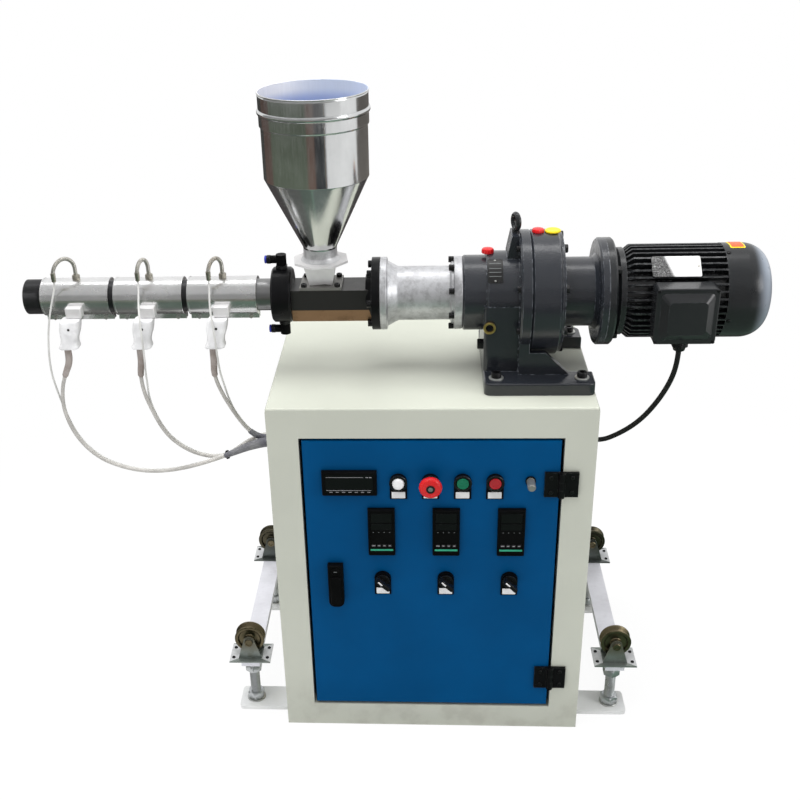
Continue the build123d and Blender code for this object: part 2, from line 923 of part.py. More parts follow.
# Feed block with its flange, the screw bore and the feed opening
feed_opening = throat_bottom_width - 2 * throat_wall
with BuildPart() as feed_block:
    block_section = [
        (-block_half_width, block_top),
        (block_half_width, block_top),
        (block_half_width, -block_side_drop),
        (block_bottom_half_width, -block_bottom),
        (-block_bottom_half_width, -block_bottom),
        (-block_half_width, -block_side_drop),
    ]
    extrude(outline(station(block_left), block_section), amount=block_length + feed_neck_length)
    flange_profile = [
        (neck_left, 0),
        (neck_left, block_half_width),
        (flange_left, feed_neck_radius),
        (flange_left, feed_flange_radius),
        (lantern_left, feed_flange_radius),
        (lantern_left, 0),
    ]
    revolve(outline(axis_plane, flange_profile), axis=axis_line)
    with BuildSketch(station(block_left)):
        Circle(screw_bore_radius)
    extrude(amount=lantern_left - block_left, mode=Mode.SUBTRACT)
    with BuildSketch(level(block_top)):
        Rectangle(feed_opening, 2 * screw_bore_radius)
    extrude(amount=-block_top, mode=Mode.SUBTRACT)
save(feed_block, "feed_block")

# Hopper throat: base plate, tapered square duct and eight-sided flange
plate_top = block_top + throat_plate_thickness
duct_top = plate_top + throat_height
flange_top = duct_top + throat_flange_thickness
with BuildPart() as hopper_throat:
    with BuildSketch(level(block_top)):
        Rectangle(throat_plate_length, throat_plate_width)
    extrude(amount=throat_plate_thickness)
    with BuildSketch(level(plate_top)) as duct_bottom_face:
        Rectangle(throat_bottom_width, throat_bottom_width)
    with BuildSketch(level(duct_top)) as duct_top_face:
        Rectangle(throat_top_width, throat_top_width)
    loft(sections=[duct_bottom_face.sketch, duct_top_face.sketch])
    with BuildSketch(level(duct_top)):
        RegularPolygon(throat_flange_radius, 8, rotation=throat_flange_turn)
    extrude(amount=throat_flange_thickness)
    top_opening = throat_top_width - 2 * throat_wall
    with BuildSketch(level(block_top)) as bottom_hole_face:
        Rectangle(feed_opening, feed_opening)
    with BuildSketch(level(duct_top)) as top_hole_face:
        Rectangle(top_opening, top_opening)
    loft(sections=[bottom_hole_face.sketch, top_hole_face.sketch], mode=Mode.SUBTRACT)
    with BuildSketch(level(duct_top)):
        Rectangle(top_opening, top_opening)
    extrude(amount=throat_flange_thickness, mode=Mode.SUBTRACT)
save(hopper_throat, "hopper_throat")

# Hopper of thin sheet: neck and cone, then the cylinder with a lapped collar, its bead and rolled rim
hopper_plane = Plane(origin=(hopper_x, axis_y, axis_z), x_dir=(1, 0, 0), z_dir=(0, -1, 0))
hopper_line = Axis((hopper_x, axis_y, axis_z), (0, 0, 1))
neck_top = flange_top + hopper_neck_height
cone_top = neck_top + hopper_cone_height
rim_height = cone_top + hopper_cylinder_height
with BuildPart() as hopper_cone:
    cone_profile = [
        (hopper_neck_radius, flange_top),
        (hopper_neck_radius, neck_top),
        (hopper_radius, cone_top),
        (hopper_radius - hopper_sheet, cone_top),
        (hopper_neck_radius - hopper_sheet, neck_top),
        (hopper_neck_radius - hopper_sheet, flange_top),
    ]
    revolve(outline(hopper_plane, cone_profile), axis=hopper_line)
save(hopper_cone, "hopper_cone")

with BuildPart() as hopper_cylinder:
    bead_height = rim_height - hopper_bead_drop
    bead_low = bead_height - hopper_bead_height / 2
    bead_high = bead_height + hopper_bead_height / 2
    inside_radius = hopper_radius - hopper_sheet
    collar_radius_out = hopper_radius + hopper_collar_step
    collar_radius_in = collar_radius_out - hopper_sheet
    collar_bottom = rim_height - hopper_collar_height
    lap_top = collar_bottom + hopper_lap
    with BuildSketch(hopper_plane) as cylinder_face:
        with BuildLine():
            Polyline(
                (collar_radius_out, bead_low),
                (collar_radius_out, collar_bottom),
                (hopper_radius, collar_bottom),
                (hopper_radius, cone_top),
                (inside_radius, cone_top),
                (inside_radius, lap_top),
                (collar_radius_in, lap_top),
                (collar_radius_in, rim_height),
                (collar_radius_out, rim_height),
                (collar_radius_out, bead_high),
            )
            ThreePointArc(
                (collar_radius_out, bead_high),
                (collar_radius_out + hopper_bead_proud, bead_height),
                (collar_radius_out, bead_low),
            )
        make_face()
        with Locations((collar_radius_out, rim_height - hopper_rim_radius)):
            Circle(hopper_rim_radius)
        with Locations((0, rim_height)):
            Rectangle(2 * collar_radius_in, 2 * (rim_height - lap_top), mode=Mode.SUBTRACT)
    revolve(cylinder_face.sketch, axis=hopper_line)
save(hopper_cylinder, "hopper_cylinder")

# Aluminium lantern between feed block and reducer
with BuildPart() as lantern:
    body_left = lantern_left + lantern_left_flange
    body_right = body_left + lantern_body_length
    lantern_profile = [
        (lantern_left, 0),
        (lantern_left, lantern_flange_radius),
        (body_left - lantern_step, lantern_flange_radius),
        (body_left - lantern_step, lantern_body_radius + lantern_taper),
        (body_left + lantern_taper, lantern_body_radius),
        (body_right, lantern_body_radius),
        (body_right, lantern_flange_radius - lantern_step),
        (body_right + lantern_step / 2, lantern_flange_radius - lantern_step),
        (body_right + lantern_step / 2, lantern_flange_radius),
        (drive_face, lantern_flange_radius),
        (drive_face, 0),
    ]
    revolve(outline(axis_plane, lantern_profile), axis=axis_line)
save(lantern, "lantern")

# Reducer base casting: foot, pedestal, side webs, snout, ring flange and the boss of the lifting eye
foot_start = drive_face + foot_left
foot_top = cabinet_height + foot_thickness
pedestal_start = drive_face + pedestal_left
foot_middle = foot_start + foot_length / 2
hole_spread = foot_length - 2 * foot_hole_inset
hole_reach = foot_width - 2 * foot_hole_edge
with BuildPart() as reducer_base:
    with BuildSketch(Plane(origin=(foot_middle, axis_y, cabinet_height))):
        RectangleRounded(foot_length, foot_width, foot_corner_radius)
        with GridLocations(hole_spread, hole_reach, 2, 2):
            Circle(foot_hole_radius, mode=Mode.SUBTRACT)
    extrude(amount=foot_thickness)
    foot_rim = reducer_base.faces().sort_by(Axis.Z)[-1].outer_wire().edges()
    fillet(foot_rim, casting_edge)
    with BuildSketch(Plane(origin=(pedestal_start, axis_y, foot_top))) as pedestal_face:
        Rectangle(
            ring_left - pedestal_start, 2 * pedestal_half_width, align=(Align.MIN, Align.CENTER)
        )
        fillet(pedestal_face.vertices().sort_by(Axis.X)[:2], pedestal_edge_radius)
    extrude(amount=axis_z - foot_top)
    with BuildSketch(Plane(origin=(disc_left, axis_y, foot_top))):
        Rectangle(disc_thickness, 2 * wall_half_width, align=(Align.MIN, Align.CENTER))
    extrude(amount=axis_z - foot_top)
    web_plane = Plane(
        origin=(ring_left, axis_y + wall_half_width, cabinet_height), x_dir=(1, 0, 0), z_dir=(0, -1, 0)
    )
    web_outline = [
        (0, foot_thickness),
        (0, web_top),
        (web_flat - disc_thickness, web_top),
        (web_flat - disc_thickness + web_slope, foot_thickness),
    ]
    extrude(outline(web_plane, web_outline), amount=2 * wall_half_width)
    with BuildSketch(Plane(origin=(ring_left, axis_y, cabinet_height))):
        Rectangle(foot_length, 2 * (wall_half_width - web_sheet), align=(Align.MIN, Align.CENTER))
    extrude(amount=web_top, mode=Mode.SUBTRACT)
    boss_outline = [
        (disc_left, 0),
        (disc_left - eye_boss_length, 0),
        (disc_left - eye_boss_length, bearing_radius),
        (disc_left - eye_boss_length + eye_boss_slope, ring_radius),
        (disc_left, ring_radius),
    ]
    boss_plane = axis_plane.offset(-eye_boss_half_width)
    extrude(outline(boss_plane, boss_outline), amount=2 * eye_boss_half_width)
    snout_profile = [
        (drive_face, 0),
        (drive_face, snout_radius - casting_edge),
        (drive_face + casting_edge, snout_radius),
        (bearing_left, snout_radius),
        (bearing_left, bearing_radius - casting_edge),
        (bearing_left + casting_edge, bearing_radius),
        (disc_left, bearing_radius),
        (disc_left, ring_radius - casting_edge),
        (disc_left + casting_edge, ring_radius),
        (ring_left, ring_radius),
        (ring_left, 0),
    ]
    revolve(outline(axis_plane, snout_profile), axis=axis_line)
    with BuildSketch(station(ring_left)):
        Circle(ring_radius + nose_clearance)
    extrude(amount=ring_length + cover_length, mode=Mode.SUBTRACT)
save(reducer_base, "reducer_base")

with BuildPart() as reducer_ring:
    ring_profile = [
        (ring_left, 0),
        (ring_left, ring_radius - ring_chamfer),
        (ring_left + ring_chamfer, ring_radius),
        (cover_left - ring_chamfer, ring_radius),
        (cover_left, cover_radius),
        (neck_start, cover_radius),
        (neck_start, 0),
    ]
    revolve(outline(axis_plane, ring_profile), axis=axis_line)
save(reducer_ring, "reducer_ring")

with BuildPart() as reducer_input_neck:
    neck_profile = [
        (neck_start, 0),
        (neck_start, neck_radius + neck_flare),
        (neck_start + neck_flare, neck_radius),
        (flange_start - neck_flare, neck_radius),
        (flange_start, neck_radius + neck_flare),
        (flange_start, motor_flange_radius - casting_edge),
        (flange_start + casting_edge, motor_flange_radius),
        (shield_flange, motor_flange_radius),
        (shield_flange, 0),
    ]
    revolve(outline(axis_plane, neck_profile), axis=axis_line)
save(reducer_input_neck, "reducer_input_neck")

eye_x = disc_left - eye_from_disc
ring_top = axis_z + ring_radius
with BuildPart() as lifting_eye:
    with BuildSketch(Plane(origin=(eye_x, axis_y, ring_top))):
        Circle(eye_shank_radius)
    extrude(amount=eye_shank_length + eye_wire)
    eye_centre = (eye_x, axis_y, ring_top + eye_shank_length + eye_wire + eye_radius)
    with Locations(Location(eye_centre, (0, 0, eye_turn))):
        Torus(eye_radius, eye_wire, rotation=(0, 90, 0))
save(lifting_eye, "lifting_eye")

sight_z = cabinet_height + sight_rise + foot_thickness
pedestal_front = axis_y - pedestal_half_width
with BuildPart() as oil_fittings:
    plug_tops = (
        (drive_face + first_plug_from_face, axis_z + bearing_radius, plug_cap_radius, plug_cap_height),
        (ring_left + second_plug_in_ring, ring_top, plug_cap_radius, plug_cap_height),
        (ring_left + filler_in_ring, ring_top, filler_cap_radius, filler_cap_height),
    )
    for cap_x, cap_z, radius, height in plug_tops:
        with BuildSketch(Plane(origin=(cap_x, axis_y, cap_z))):
            Circle(radius)
        extrude(amount=height)
    sight_plane = Plane(
        origin=(pedestal_start + sight_inset, pedestal_front, sight_z), x_dir=(1, 0, 0), z_dir=(0, -1, 0)
    )
    with BuildSketch(sight_plane):
        Circle(sight_radius)
    extrude(amount=sight_proud)
    with BuildSketch(sight_plane.offset(sight_proud)):
        Circle(sight_glass_radius)
    extrude(amount=-sight_glass_depth, mode=Mode.SUBTRACT)
    drain_plane = Plane(
        origin=(pedestal_start, axis_y - drain_forward, cabinet_height + drain_rise),
        x_dir=(0, 1, 0),
        z_dir=(-1, 0, 0),
    )
    with BuildSketch(drain_plane):
        RegularPolygon(drain_flats / 2, 6, major_radius=False)
    extrude(amount=drain_length)
save(oil_fittings, "oil_fittings")

# Motor: end shield, finned frame, terminal box and fan cowl
with BuildPart() as motor_end_shield:
    shield_profile = [
        (shield_flange, 0),
        (shield_flange, motor_flange_radius),
        (shield_start - casting_edge, motor_flange_radius),
        (shield_start, motor_flange_radius - casting_edge),
        (shield_start, shield_radius - shield_chamfer),
        (frame_start - shield_chamfer, shield_radius),
        (frame_start, shield_radius),
        (frame_start, 0),
    ]
    revolve(outline(axis_plane, shield_profile), axis=axis_line)
save(motor_end_shield, "motor_end_shield")

fin_middle_radius = (frame_core_radius + frame_fin_radius) / 2
fin_length = frame_fin_radius - frame_core_radius + fin_thickness
box_middle = frame_start + box_from_frame + box_width / 2
with BuildPart() as motor_frame:
    with BuildSketch(station(frame_start)):
        Circle(frame_core_radius)
        with PolarLocations(fin_middle_radius, fin_count):
            Rectangle(fin_length, fin_thickness)
    extrude(amount=frame_length)
    fin_tip = frame_fin_radius + fin_thickness
    slope_profile = [
        (frame_start, frame_core_radius + fin_thickness),
        (frame_start + fin_slope, fin_tip),
        (frame_start, fin_tip),
    ]
    revolve(outline(axis_plane, slope_profile), axis=axis_line, mode=Mode.SUBTRACT)
    with BuildSketch(Plane(origin=(box_middle, axis_y, axis_z), x_dir=(1, 0, 0), z_dir=(0, -1, 0))):
        Rectangle(boss_width, boss_height)
    extrude(amount=boss_reach)
save(motor_frame, "motor_frame")

box_z = axis_z - box_drop
box_plane = Plane(origin=(box_middle, axis_y - boss_reach, box_z), x_dir=(1, 0, 0), z_dir=(0, -1, 0))
with BuildPart() as terminal_box:
    with BuildSketch(box_plane):
        RectangleRounded(box_width, box_height, box_edge_radius)
    extrude(amount=box_depth)
    fillet(terminal_box.faces().sort_by(Axis.Y)[0].edges(), rim_edge_radius)
    lid_width = box_width - 2 * lid_rim
    lid_length = box_height - 2 * lid_rim
    with BuildSketch(box_plane.offset(box_depth)) as lid_bottom:
        RectangleRounded(lid_width, lid_length, box_edge_radius)
    with BuildSketch(box_plane.offset(box_depth + lid_height)) as lid_top:
        RectangleRounded(lid_width - 2 * lid_bevel, lid_length - 2 * lid_bevel, box_edge_radius)
    loft(sections=[lid_bottom.sketch, lid_top.sketch])
save(terminal_box, "terminal_box")

with BuildPart() as motor_fan_cowl:
    cowl_bend = cowl_start + cowl_straight
    cowl_end = cowl_start + cowl_length
    with BuildSketch(axis_plane):
        with BuildLine():
            Line((cowl_start, cowl_radius), (cowl_bend, cowl_radius))
            EllipticalCenterArc(
                (cowl_bend, cowl_end_radius),
                cowl_end - cowl_bend,
                cowl_radius - cowl_end_radius,
                start_angle=0,
                arc_size=cowl_end_turn,
            )
            Polyline((cowl_end, cowl_end_radius), (cowl_end, 0), (cowl_start, 0), (cowl_start, cowl_radius))
        make_face()
    revolve(axis=axis_line)
    slot_pitch = (cowl_end_radius - grille_spoke) / grille_ring_count
    for ring_index in range(grille_ring_count):
        slot_radius = grille_spoke + ring_index * slot_pitch
        with BuildSketch(station(cowl_end)):
            Circle(slot_radius + grille_slot)
            Circle(slot_radius, mode=Mode.SUBTRACT)
            Rectangle(2 * cowl_radius, grille_spoke, mode=Mode.SUBTRACT)
            Rectangle(grille_spoke, 2 * cowl_radius, mode=Mode.SUBTRACT)
        extrude(amount=-cowl_overlap, mode=Mode.SUBTRACT)
save(motor_fan_cowl, "motor_fan_cowl")

# Cable entries: an oval grommet at the left, a gland at the right and one below the terminal box
gland_x = box_middle - box_width / 2 + gland_in_box
gland_y = axis_y - boss_reach - gland_box_depth
box_bottom = box_z - box_height / 2
with BuildPart() as cable_glands:
    left_plane = Plane(origin=(-half_width, left_entry_y, left_entry_z), x_dir=(0, 1, 0), z_dir=(-1, 0, 0))
    with BuildSketch(left_plane):
        SlotOverall(left_entry_length, left_entry_width)
    extrude(amount=entry_reach)
    right_plane = Plane(origin=(half_width, right_entry_y, right_entry_z), x_dir=(0, 1, 0), z_dir=(1, 0, 0))
    with BuildSketch(right_plane):
        Circle(right_entry_radius)
    extrude(amount=entry_reach)
    with BuildSketch(Plane(origin=(gland_x, gland_y, box_bottom))):
        Circle(gland_radius)
    extrude(amount=-gland_length)
save(cable_glands, "cable_glands")


# Cords: tubes along straight runs joined by tangent arcs
def cord(points, diameter, name):
    """A tube along a route, each corner rounded as far as its two runs allow."""
    route = [Vector(point) for point in points]
    radii = []
    for before, corner, after in zip(route, route[1:], route[2:]):
        first_run = corner - before
        second_run = after - corner
        turn = math.radians(first_run.get_angle(second_run))
        shorter = min(first_run.length, second_run.length)
        radii.append(cord_corner_share * shorter / math.tan(turn / 2))
    print(name, "radii", [round(radius) for radius in radii])
    with BuildPart() as tube:
        with BuildLine() as path:
            FilletPolyline(*route, radius=radii)
        with BuildSketch(Plane(origin=route[0], z_dir=route[1] - route[0])):
            Circle(diameter / 2)
        sweep(path=path.wire())
    expected = math.pi * (diameter / 2) ** 2 * path.wire().length
    print(name, "length", round(path.wire().length, 1), "volume share", round(tube.part.volume / expected, 4))
    save(tube, name)


sleeve_bottom = plug_top - plug_height - plug_sleeve_length
cable_exits = [Vector(middle - plug_exit_shift, plug_y, sleeve_bottom) for middle in plug_middles]
lead_exits = [
    Vector(probe_x - reach, axis_y - probe_forward, band_top + probe_end_rise)
    for probe_x, reach in zip(probe_places, probe_reaches)
]
motor_exit = Vector(gland_x, gland_y, box_bottom - gland_length)
heater_routes = [
    [
        (-657, -101, 703),
        (-671, -97, 668),
        (-676, -93, 620),
        (-661, -90, 564),
        (-628, -87, 520),
        (-584, -85, 497),
        (-535, -83, 486),
        (-483, -81, 489),
        (-430, -79, 502),
        (-382, -77, 519),
        (-340, -74, 537),
        (-310, -73, 545),
        (-294, -73, 545),
    ],
    [
        (-522, -98, 697),
        (-522, -90, 657),
        (-511, -83, 611),
        (-496, -77, 568),
        (-474, -72, 539),
        (-446, -67, 518),
        (-415, -64, 508),
        (-386, -61, 510),
        (-362, -55, 525),
        (-340, -48, 538),
        (-314, -41, 545),
        (-294, -41, 545),
    ],
    [
        (-388, -97, 696),
        (-380, -88, 657),
        (-363, -79, 613),
        (-345, -68, 574),
        (-329, -61, 554),
        (-312, -57, 545),
        (-294, -57, 545),
    ],
]
lead_routes = [
    [
        (-666, -98, 826),
        (-676, -100, 788),
        (-683, -99, 745),
        (-686, -96, 700),
        (-683, -90, 662),
    ],
    [
        (-506, -112, 827),
        (-503, -124, 803),
        (-503, -125, 766),
        (-505, -118, 734),
        (-510, -105, 703),
        (-513, -92, 676),
        (-516, -82, 645),
    ],
    [
        (-381, -112, 827),
        (-376, -124, 803),
        (-374, -125, 766),
        (-374, -118, 734),
        (-375, -105, 703),
        (-373, -92, 676),
        (-370, -80, 645),
    ],
]
motor_route = [
    (412, -149, 715),
    (404, -139, 682),
    (391, -128, 648),
    (373, -119, 616),
    (352, -110, 591),
    (328, -103, 572),
    (310, -100, 563),
    (294, -100, 563),
]
for index in range(len(heater_routes)):
    below_plug = cable_exits[index] - Vector(0, 0, cable_stub)
    heater_points = [cable_exits[index], below_plug, *heater_routes[index]]
    cord(heater_points, cable_diameter, f"heater_cable_{index + 1}")
    below_armour = lead_exits[index] - Vector(0, 0, lead_stub)
    beside_cable = [(x, y + lead_behind, z) for x, y, z in heater_routes[index][free_point_count:]]
    lead_points = [lead_exits[index], below_armour, *lead_routes[index], *beside_cable]
    cord(lead_points, lead_diameter, f"thermocouple_lead_{index + 1}")
motor_points = [motor_exit, motor_exit - Vector(0, 0, motor_stub), *motor_route]
cord(motor_points, motor_cable_diameter, "motor_cable")
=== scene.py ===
"""Looks of the plastic extruder on its floor cabinet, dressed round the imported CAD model.

Shapes are worked out in millimetres in the CAD model's own frame and put into their meshes in
metres, so every object stays at the origin. X runs along the barrel towards the motor, Y to the
back and Z up.
"""
import json
import math

import bmesh
import bpy
import numpy as np
from mathutils import Matrix, Vector

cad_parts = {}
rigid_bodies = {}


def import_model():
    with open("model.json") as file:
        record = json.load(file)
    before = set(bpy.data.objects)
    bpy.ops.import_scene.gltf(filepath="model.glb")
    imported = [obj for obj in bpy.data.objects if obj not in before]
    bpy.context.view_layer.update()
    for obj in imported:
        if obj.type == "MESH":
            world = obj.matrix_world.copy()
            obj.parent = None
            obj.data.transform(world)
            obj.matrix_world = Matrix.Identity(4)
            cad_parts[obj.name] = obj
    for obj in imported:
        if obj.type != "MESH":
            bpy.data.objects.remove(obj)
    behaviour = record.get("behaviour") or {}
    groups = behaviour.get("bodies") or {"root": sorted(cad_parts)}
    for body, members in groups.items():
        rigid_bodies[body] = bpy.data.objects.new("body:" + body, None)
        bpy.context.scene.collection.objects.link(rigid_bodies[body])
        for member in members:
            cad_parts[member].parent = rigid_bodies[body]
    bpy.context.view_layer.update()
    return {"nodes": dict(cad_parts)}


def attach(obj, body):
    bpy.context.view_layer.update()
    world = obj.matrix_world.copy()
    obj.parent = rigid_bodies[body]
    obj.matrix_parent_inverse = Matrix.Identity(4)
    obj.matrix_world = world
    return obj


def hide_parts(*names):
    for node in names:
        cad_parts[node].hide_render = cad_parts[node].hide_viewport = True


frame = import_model()

METRE = 0.001
WHITE = (1, 1, 1, 1)
FRONT, BACK = (0, -1, 0), (0, 1, 0)
LEFT, RIGHT = (-1, 0, 0), (1, 0, 0)
DOWN, UP = (0, 0, -1), (0, 0, 1)

# Places of the CAD model that the dressing repeats
axis_y, axis_z = -57.0, 832.0
front_y = -230.0
screw_x = 352.0
hopper_x = -189.5


# Shapes: grids of points, closed round their columns, whose first and last rows end in a point
def ring(radius, count=48):
    """A circle: the radius times the cosine and sine of evenly spaced angles."""
    angle = np.arange(count) * (2 * math.pi / count)
    return radius * np.stack([np.cos(angle), np.sin(angle)], 1)


def hexagon(flats, count=48):
    """A hexagon: half the flats over the cosine of the angle from the nearest flat's middle."""
    angle = np.arange(count) * (2 * math.pi / count)
    from_flat = (angle + math.pi / 6) % (math.pi / 3) - math.pi / 6
    reach = flats / 2 / np.cos(from_flat)
    return reach[:, None] * np.stack([np.cos(angle), np.sin(angle)], 1)


def rounded(width, height, radius, steps=5, middle=(0, 0)):
    """A rectangle with round corners: a quarter circle about each inset corner in turn."""
    turn = np.linspace(0, math.pi / 2, steps)[None] + np.arange(4)[:, None] * math.pi / 2
    signs = np.array([(1, 1), (-1, 1), (-1, -1), (1, -1)], float)
    inset = signs * (np.array([width, height]) / 2 - radius)
    arcs = inset[:, None] + radius * np.stack([np.cos(turn), np.sin(turn)], 2)
    return arcs.reshape(-1, 2) + np.array(middle, float)


def soft(profile, radius=1.0, steps=4):
    """A profile with its inner corners rounded: at each a parabola between points on both runs."""
    points = np.array(profile, float)
    before, corner, after = points[:-2], points[1:-1], points[2:]
    back, onward = before - corner, after - corner
    back_length = np.linalg.norm(back, axis=1, keepdims=True)
    onward_length = np.linalg.norm(onward, axis=1, keepdims=True)
    start = corner + back / back_length * np.minimum(radius, back_length * 0.45)
    end = corner + onward / onward_length * np.minimum(radius, onward_length * 0.45)
    t = np.linspace(0, 1, steps)[None, :, None]
    curve = (1 - t) ** 2 * start[:, None] + 2 * t * (1 - t) * corner[:, None] + t ** 2 * end[:, None]
    return np.concatenate([points[:1], curve.reshape(-1, 2), points[-1:]])


def tight(profile, gap=1.5):
    """A profile with points close to both ends of each run, so that long walls keep their true shading."""
    points = np.array(profile, float)
    run = np.diff(points, axis=0)
    length = np.linalg.norm(run, axis=1, keepdims=True)
    share = np.where(length > 4 * gap, gap / np.maximum(length, gap), 0.25)
    inner = np.stack([points[:-1], points[:-1] + run * share, points[1:] - run * share], 1)
    return np.concatenate([inner.reshape(-1, 2), points[-1:]])


def lathe(profile, count=96):
    """A turned skin: each (along, radius) pair of the profile carried round the local z axis."""
    profile = np.array(profile, float)
    circle = ring(1, count)
    flat = profile[:, 1, None, None] * circle[None]
    height = np.broadcast_to(profile[:, 0, None, None], flat[..., :1].shape)
    return np.concatenate([flat, height], 2)


def stack(*rows):
    """A closed skin: outlines of one point count at their heights, drawn in to a point at both ends."""
    middles = [np.broadcast_to(rows[end][0].mean(0), rows[end][0].shape) for end in (0, -1)]
    outlines = np.stack([middles[0], *[outline for outline, _ in rows], middles[1]])
    heights = np.array([rows[0][1], *[height for _, height in rows], rows[-1][1]], float)
    height = np.broadcast_to(heights[:, None, None], outlines[..., :1].shape)
    return np.concatenate([outlines, height], 2)


def turned(profile, radius, steps=4, count=64):
    """A turned skin whose profile has soft corners."""
    return lathe(soft(profile, radius, steps), count)


def discs(*rows, count=48):
    """A turned skin from its (radius, height) pairs, closed at both ends."""
    return stack(*[(ring(radius, count), height) for radius, height in rows])


def slab(width, height, thickness, corner=2.0, edge=0.6, middle=(0, 0)):
    """A plate with round corners whose front edge is bevelled: its outline, then the inset one."""
    inner = rounded(width - 2 * edge, height - 2 * edge, max(corner - edge, 0.2), middle=middle)
    outer = rounded(width, height, corner, middle=middle)
    return stack((outer, 0), (outer, thickness - edge), (inner, thickness))


def sweep(path, outline, up=UP):
    """An outline, or one for each point, carried along a path, its x axis square to the path and up."""
    path = np.array(path, float)
    along = np.gradient(path, axis=0)
    along /= np.linalg.norm(along, axis=1, keepdims=True)
    side = np.cross(along, np.array(up, float))
    side /= np.linalg.norm(side, axis=1, keepdims=True)
    over = np.cross(side, along)
    skin = path[:, None] + outline[..., :1] * side[:, None] + outline[..., 1:] * over[:, None]
    ends = [np.broadcast_to(path[end], skin[:1].shape[1:])[None] for end in (0, -1)]
    return np.concatenate([ends[0], skin, ends[1]])


def place(shape, origin, out=FRONT, across=None):
    """Turns a local shape so that its z axis points out and its x axis across, and moves it."""
    out = np.array(out, float) / np.linalg.norm(out)
    if across is None:
        across = (1, 0, 0) if abs(out[0]) < 0.9 else (0, 1, 0)
    across = np.array(across, float) - np.dot(across, out) * out
    across /= np.linalg.norm(across)
    up = np.cross(out, across)
    return np.array(origin, float) + shape[..., :1] * across + shape[..., 1:2] * up + shape[..., 2:] * out


def on_axis(shape):
    """A local shape with its z axis on the extruder's axis, its heights read as X."""
    return place(shape, (0, axis_y, axis_z), RIGHT, BACK)


def round_axis(radius, count, start):
    """Directions round the extruder's axis, as (Y, Z) offsets at a radius, from the back over the top."""
    angle = np.radians(start + np.arange(count) * 360.0 / count)
    return radius * np.stack([np.cos(angle), np.sin(angle)], 1)


def linked(name, data):
    """An object of the scene for a mesh, curve, lamp or camera."""
    made = bpy.data.objects.new(name, data)
    bpy.context.scene.collection.objects.link(made)
    return made


def build(name, shapes, look, body="machine", slot=None, replaces=(), sharp=38):
    """One piece from its grids: quads between neighbouring rows and columns, ends merged to points.

    It works out a slot, from the argument or its look, but gives it to nothing.
    """
    points, faces, base = [], [], 0
    for shape in shapes:
        rows, columns = shape.shape[:2]
        index = base + np.arange(rows * columns).reshape(rows, columns)
        beside = np.roll(index, -1, axis=1)
        quads = np.stack([index[:-1], beside[:-1], beside[1:], index[1:]], 2)
        points.append(shape.reshape(-1, 3))
        faces.append(quads.reshape(-1, 4))
        base += rows * columns
    mesh = bpy.data.meshes.new(name)
    mesh.from_pydata((np.concatenate(points) * METRE).tolist(), [], np.concatenate(faces).tolist())
    work = bmesh.new()
    work.from_mesh(mesh)
    bmesh.ops.remove_doubles(work, verts=work.verts, dist=1e-6)
    bmesh.ops.recalc_face_normals(work, faces=work.faces)
    work.to_mesh(mesh)
    work.free()
    mesh.shade_smooth()
    mesh.set_sharp_from_angle(angle=math.radians(sharp))
    mesh.materials.append(looks[look])
    piece = linked(name, mesh)
    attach(piece, body)
    slot = slot or slots.get(look)
    if replaces:
        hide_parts(*replaces)
    return piece


# Fasteners, standing on local z = 0
def socket_screw(radius, height):
    """A cap screw's head: a cylinder with a soft rim and a hexagon socket half its height deep."""
    recess = hexagon(radius, 24)
    return stack(
        (ring(radius, 24), 0),
        (ring(radius, 24), height * 0.9),
        (ring(radius * 0.92, 24), height),
        (recess, height),
        (recess, height * 0.5),
    )


def hex_head(flats, height):
    """A bolt head or nut: a hexagon whose top corners are turned down to a circle."""
    return stack(
        (hexagon(flats, 24), 0),
        (hexagon(flats, 24), height * 0.86),
        (ring(flats * 0.48, 24), height),
    )


def washer(radius, height):
    """A flat washer: a disc with a soft rim."""
    return discs((radius, 0), (radius, height * 0.7), (radius * 0.95, height), count=24)


def pan_screw(radius, height):
    """A small domed screw head with a cross recess drawn as a four-lobed hollow."""
    angle = np.arange(24) * (2 * math.pi / 24)
    cross = (0.16 + 0.34 * np.cos(2 * angle) ** 8)[:, None] * ring(radius, 24)
    return stack(
        (ring(radius, 24), 0),
        (ring(radius, 24), height * 0.35),
        (ring(radius * 0.82, 24), height * 0.85),
        (cross, height),
        (cross * 0.8, height * 0.45),
    )


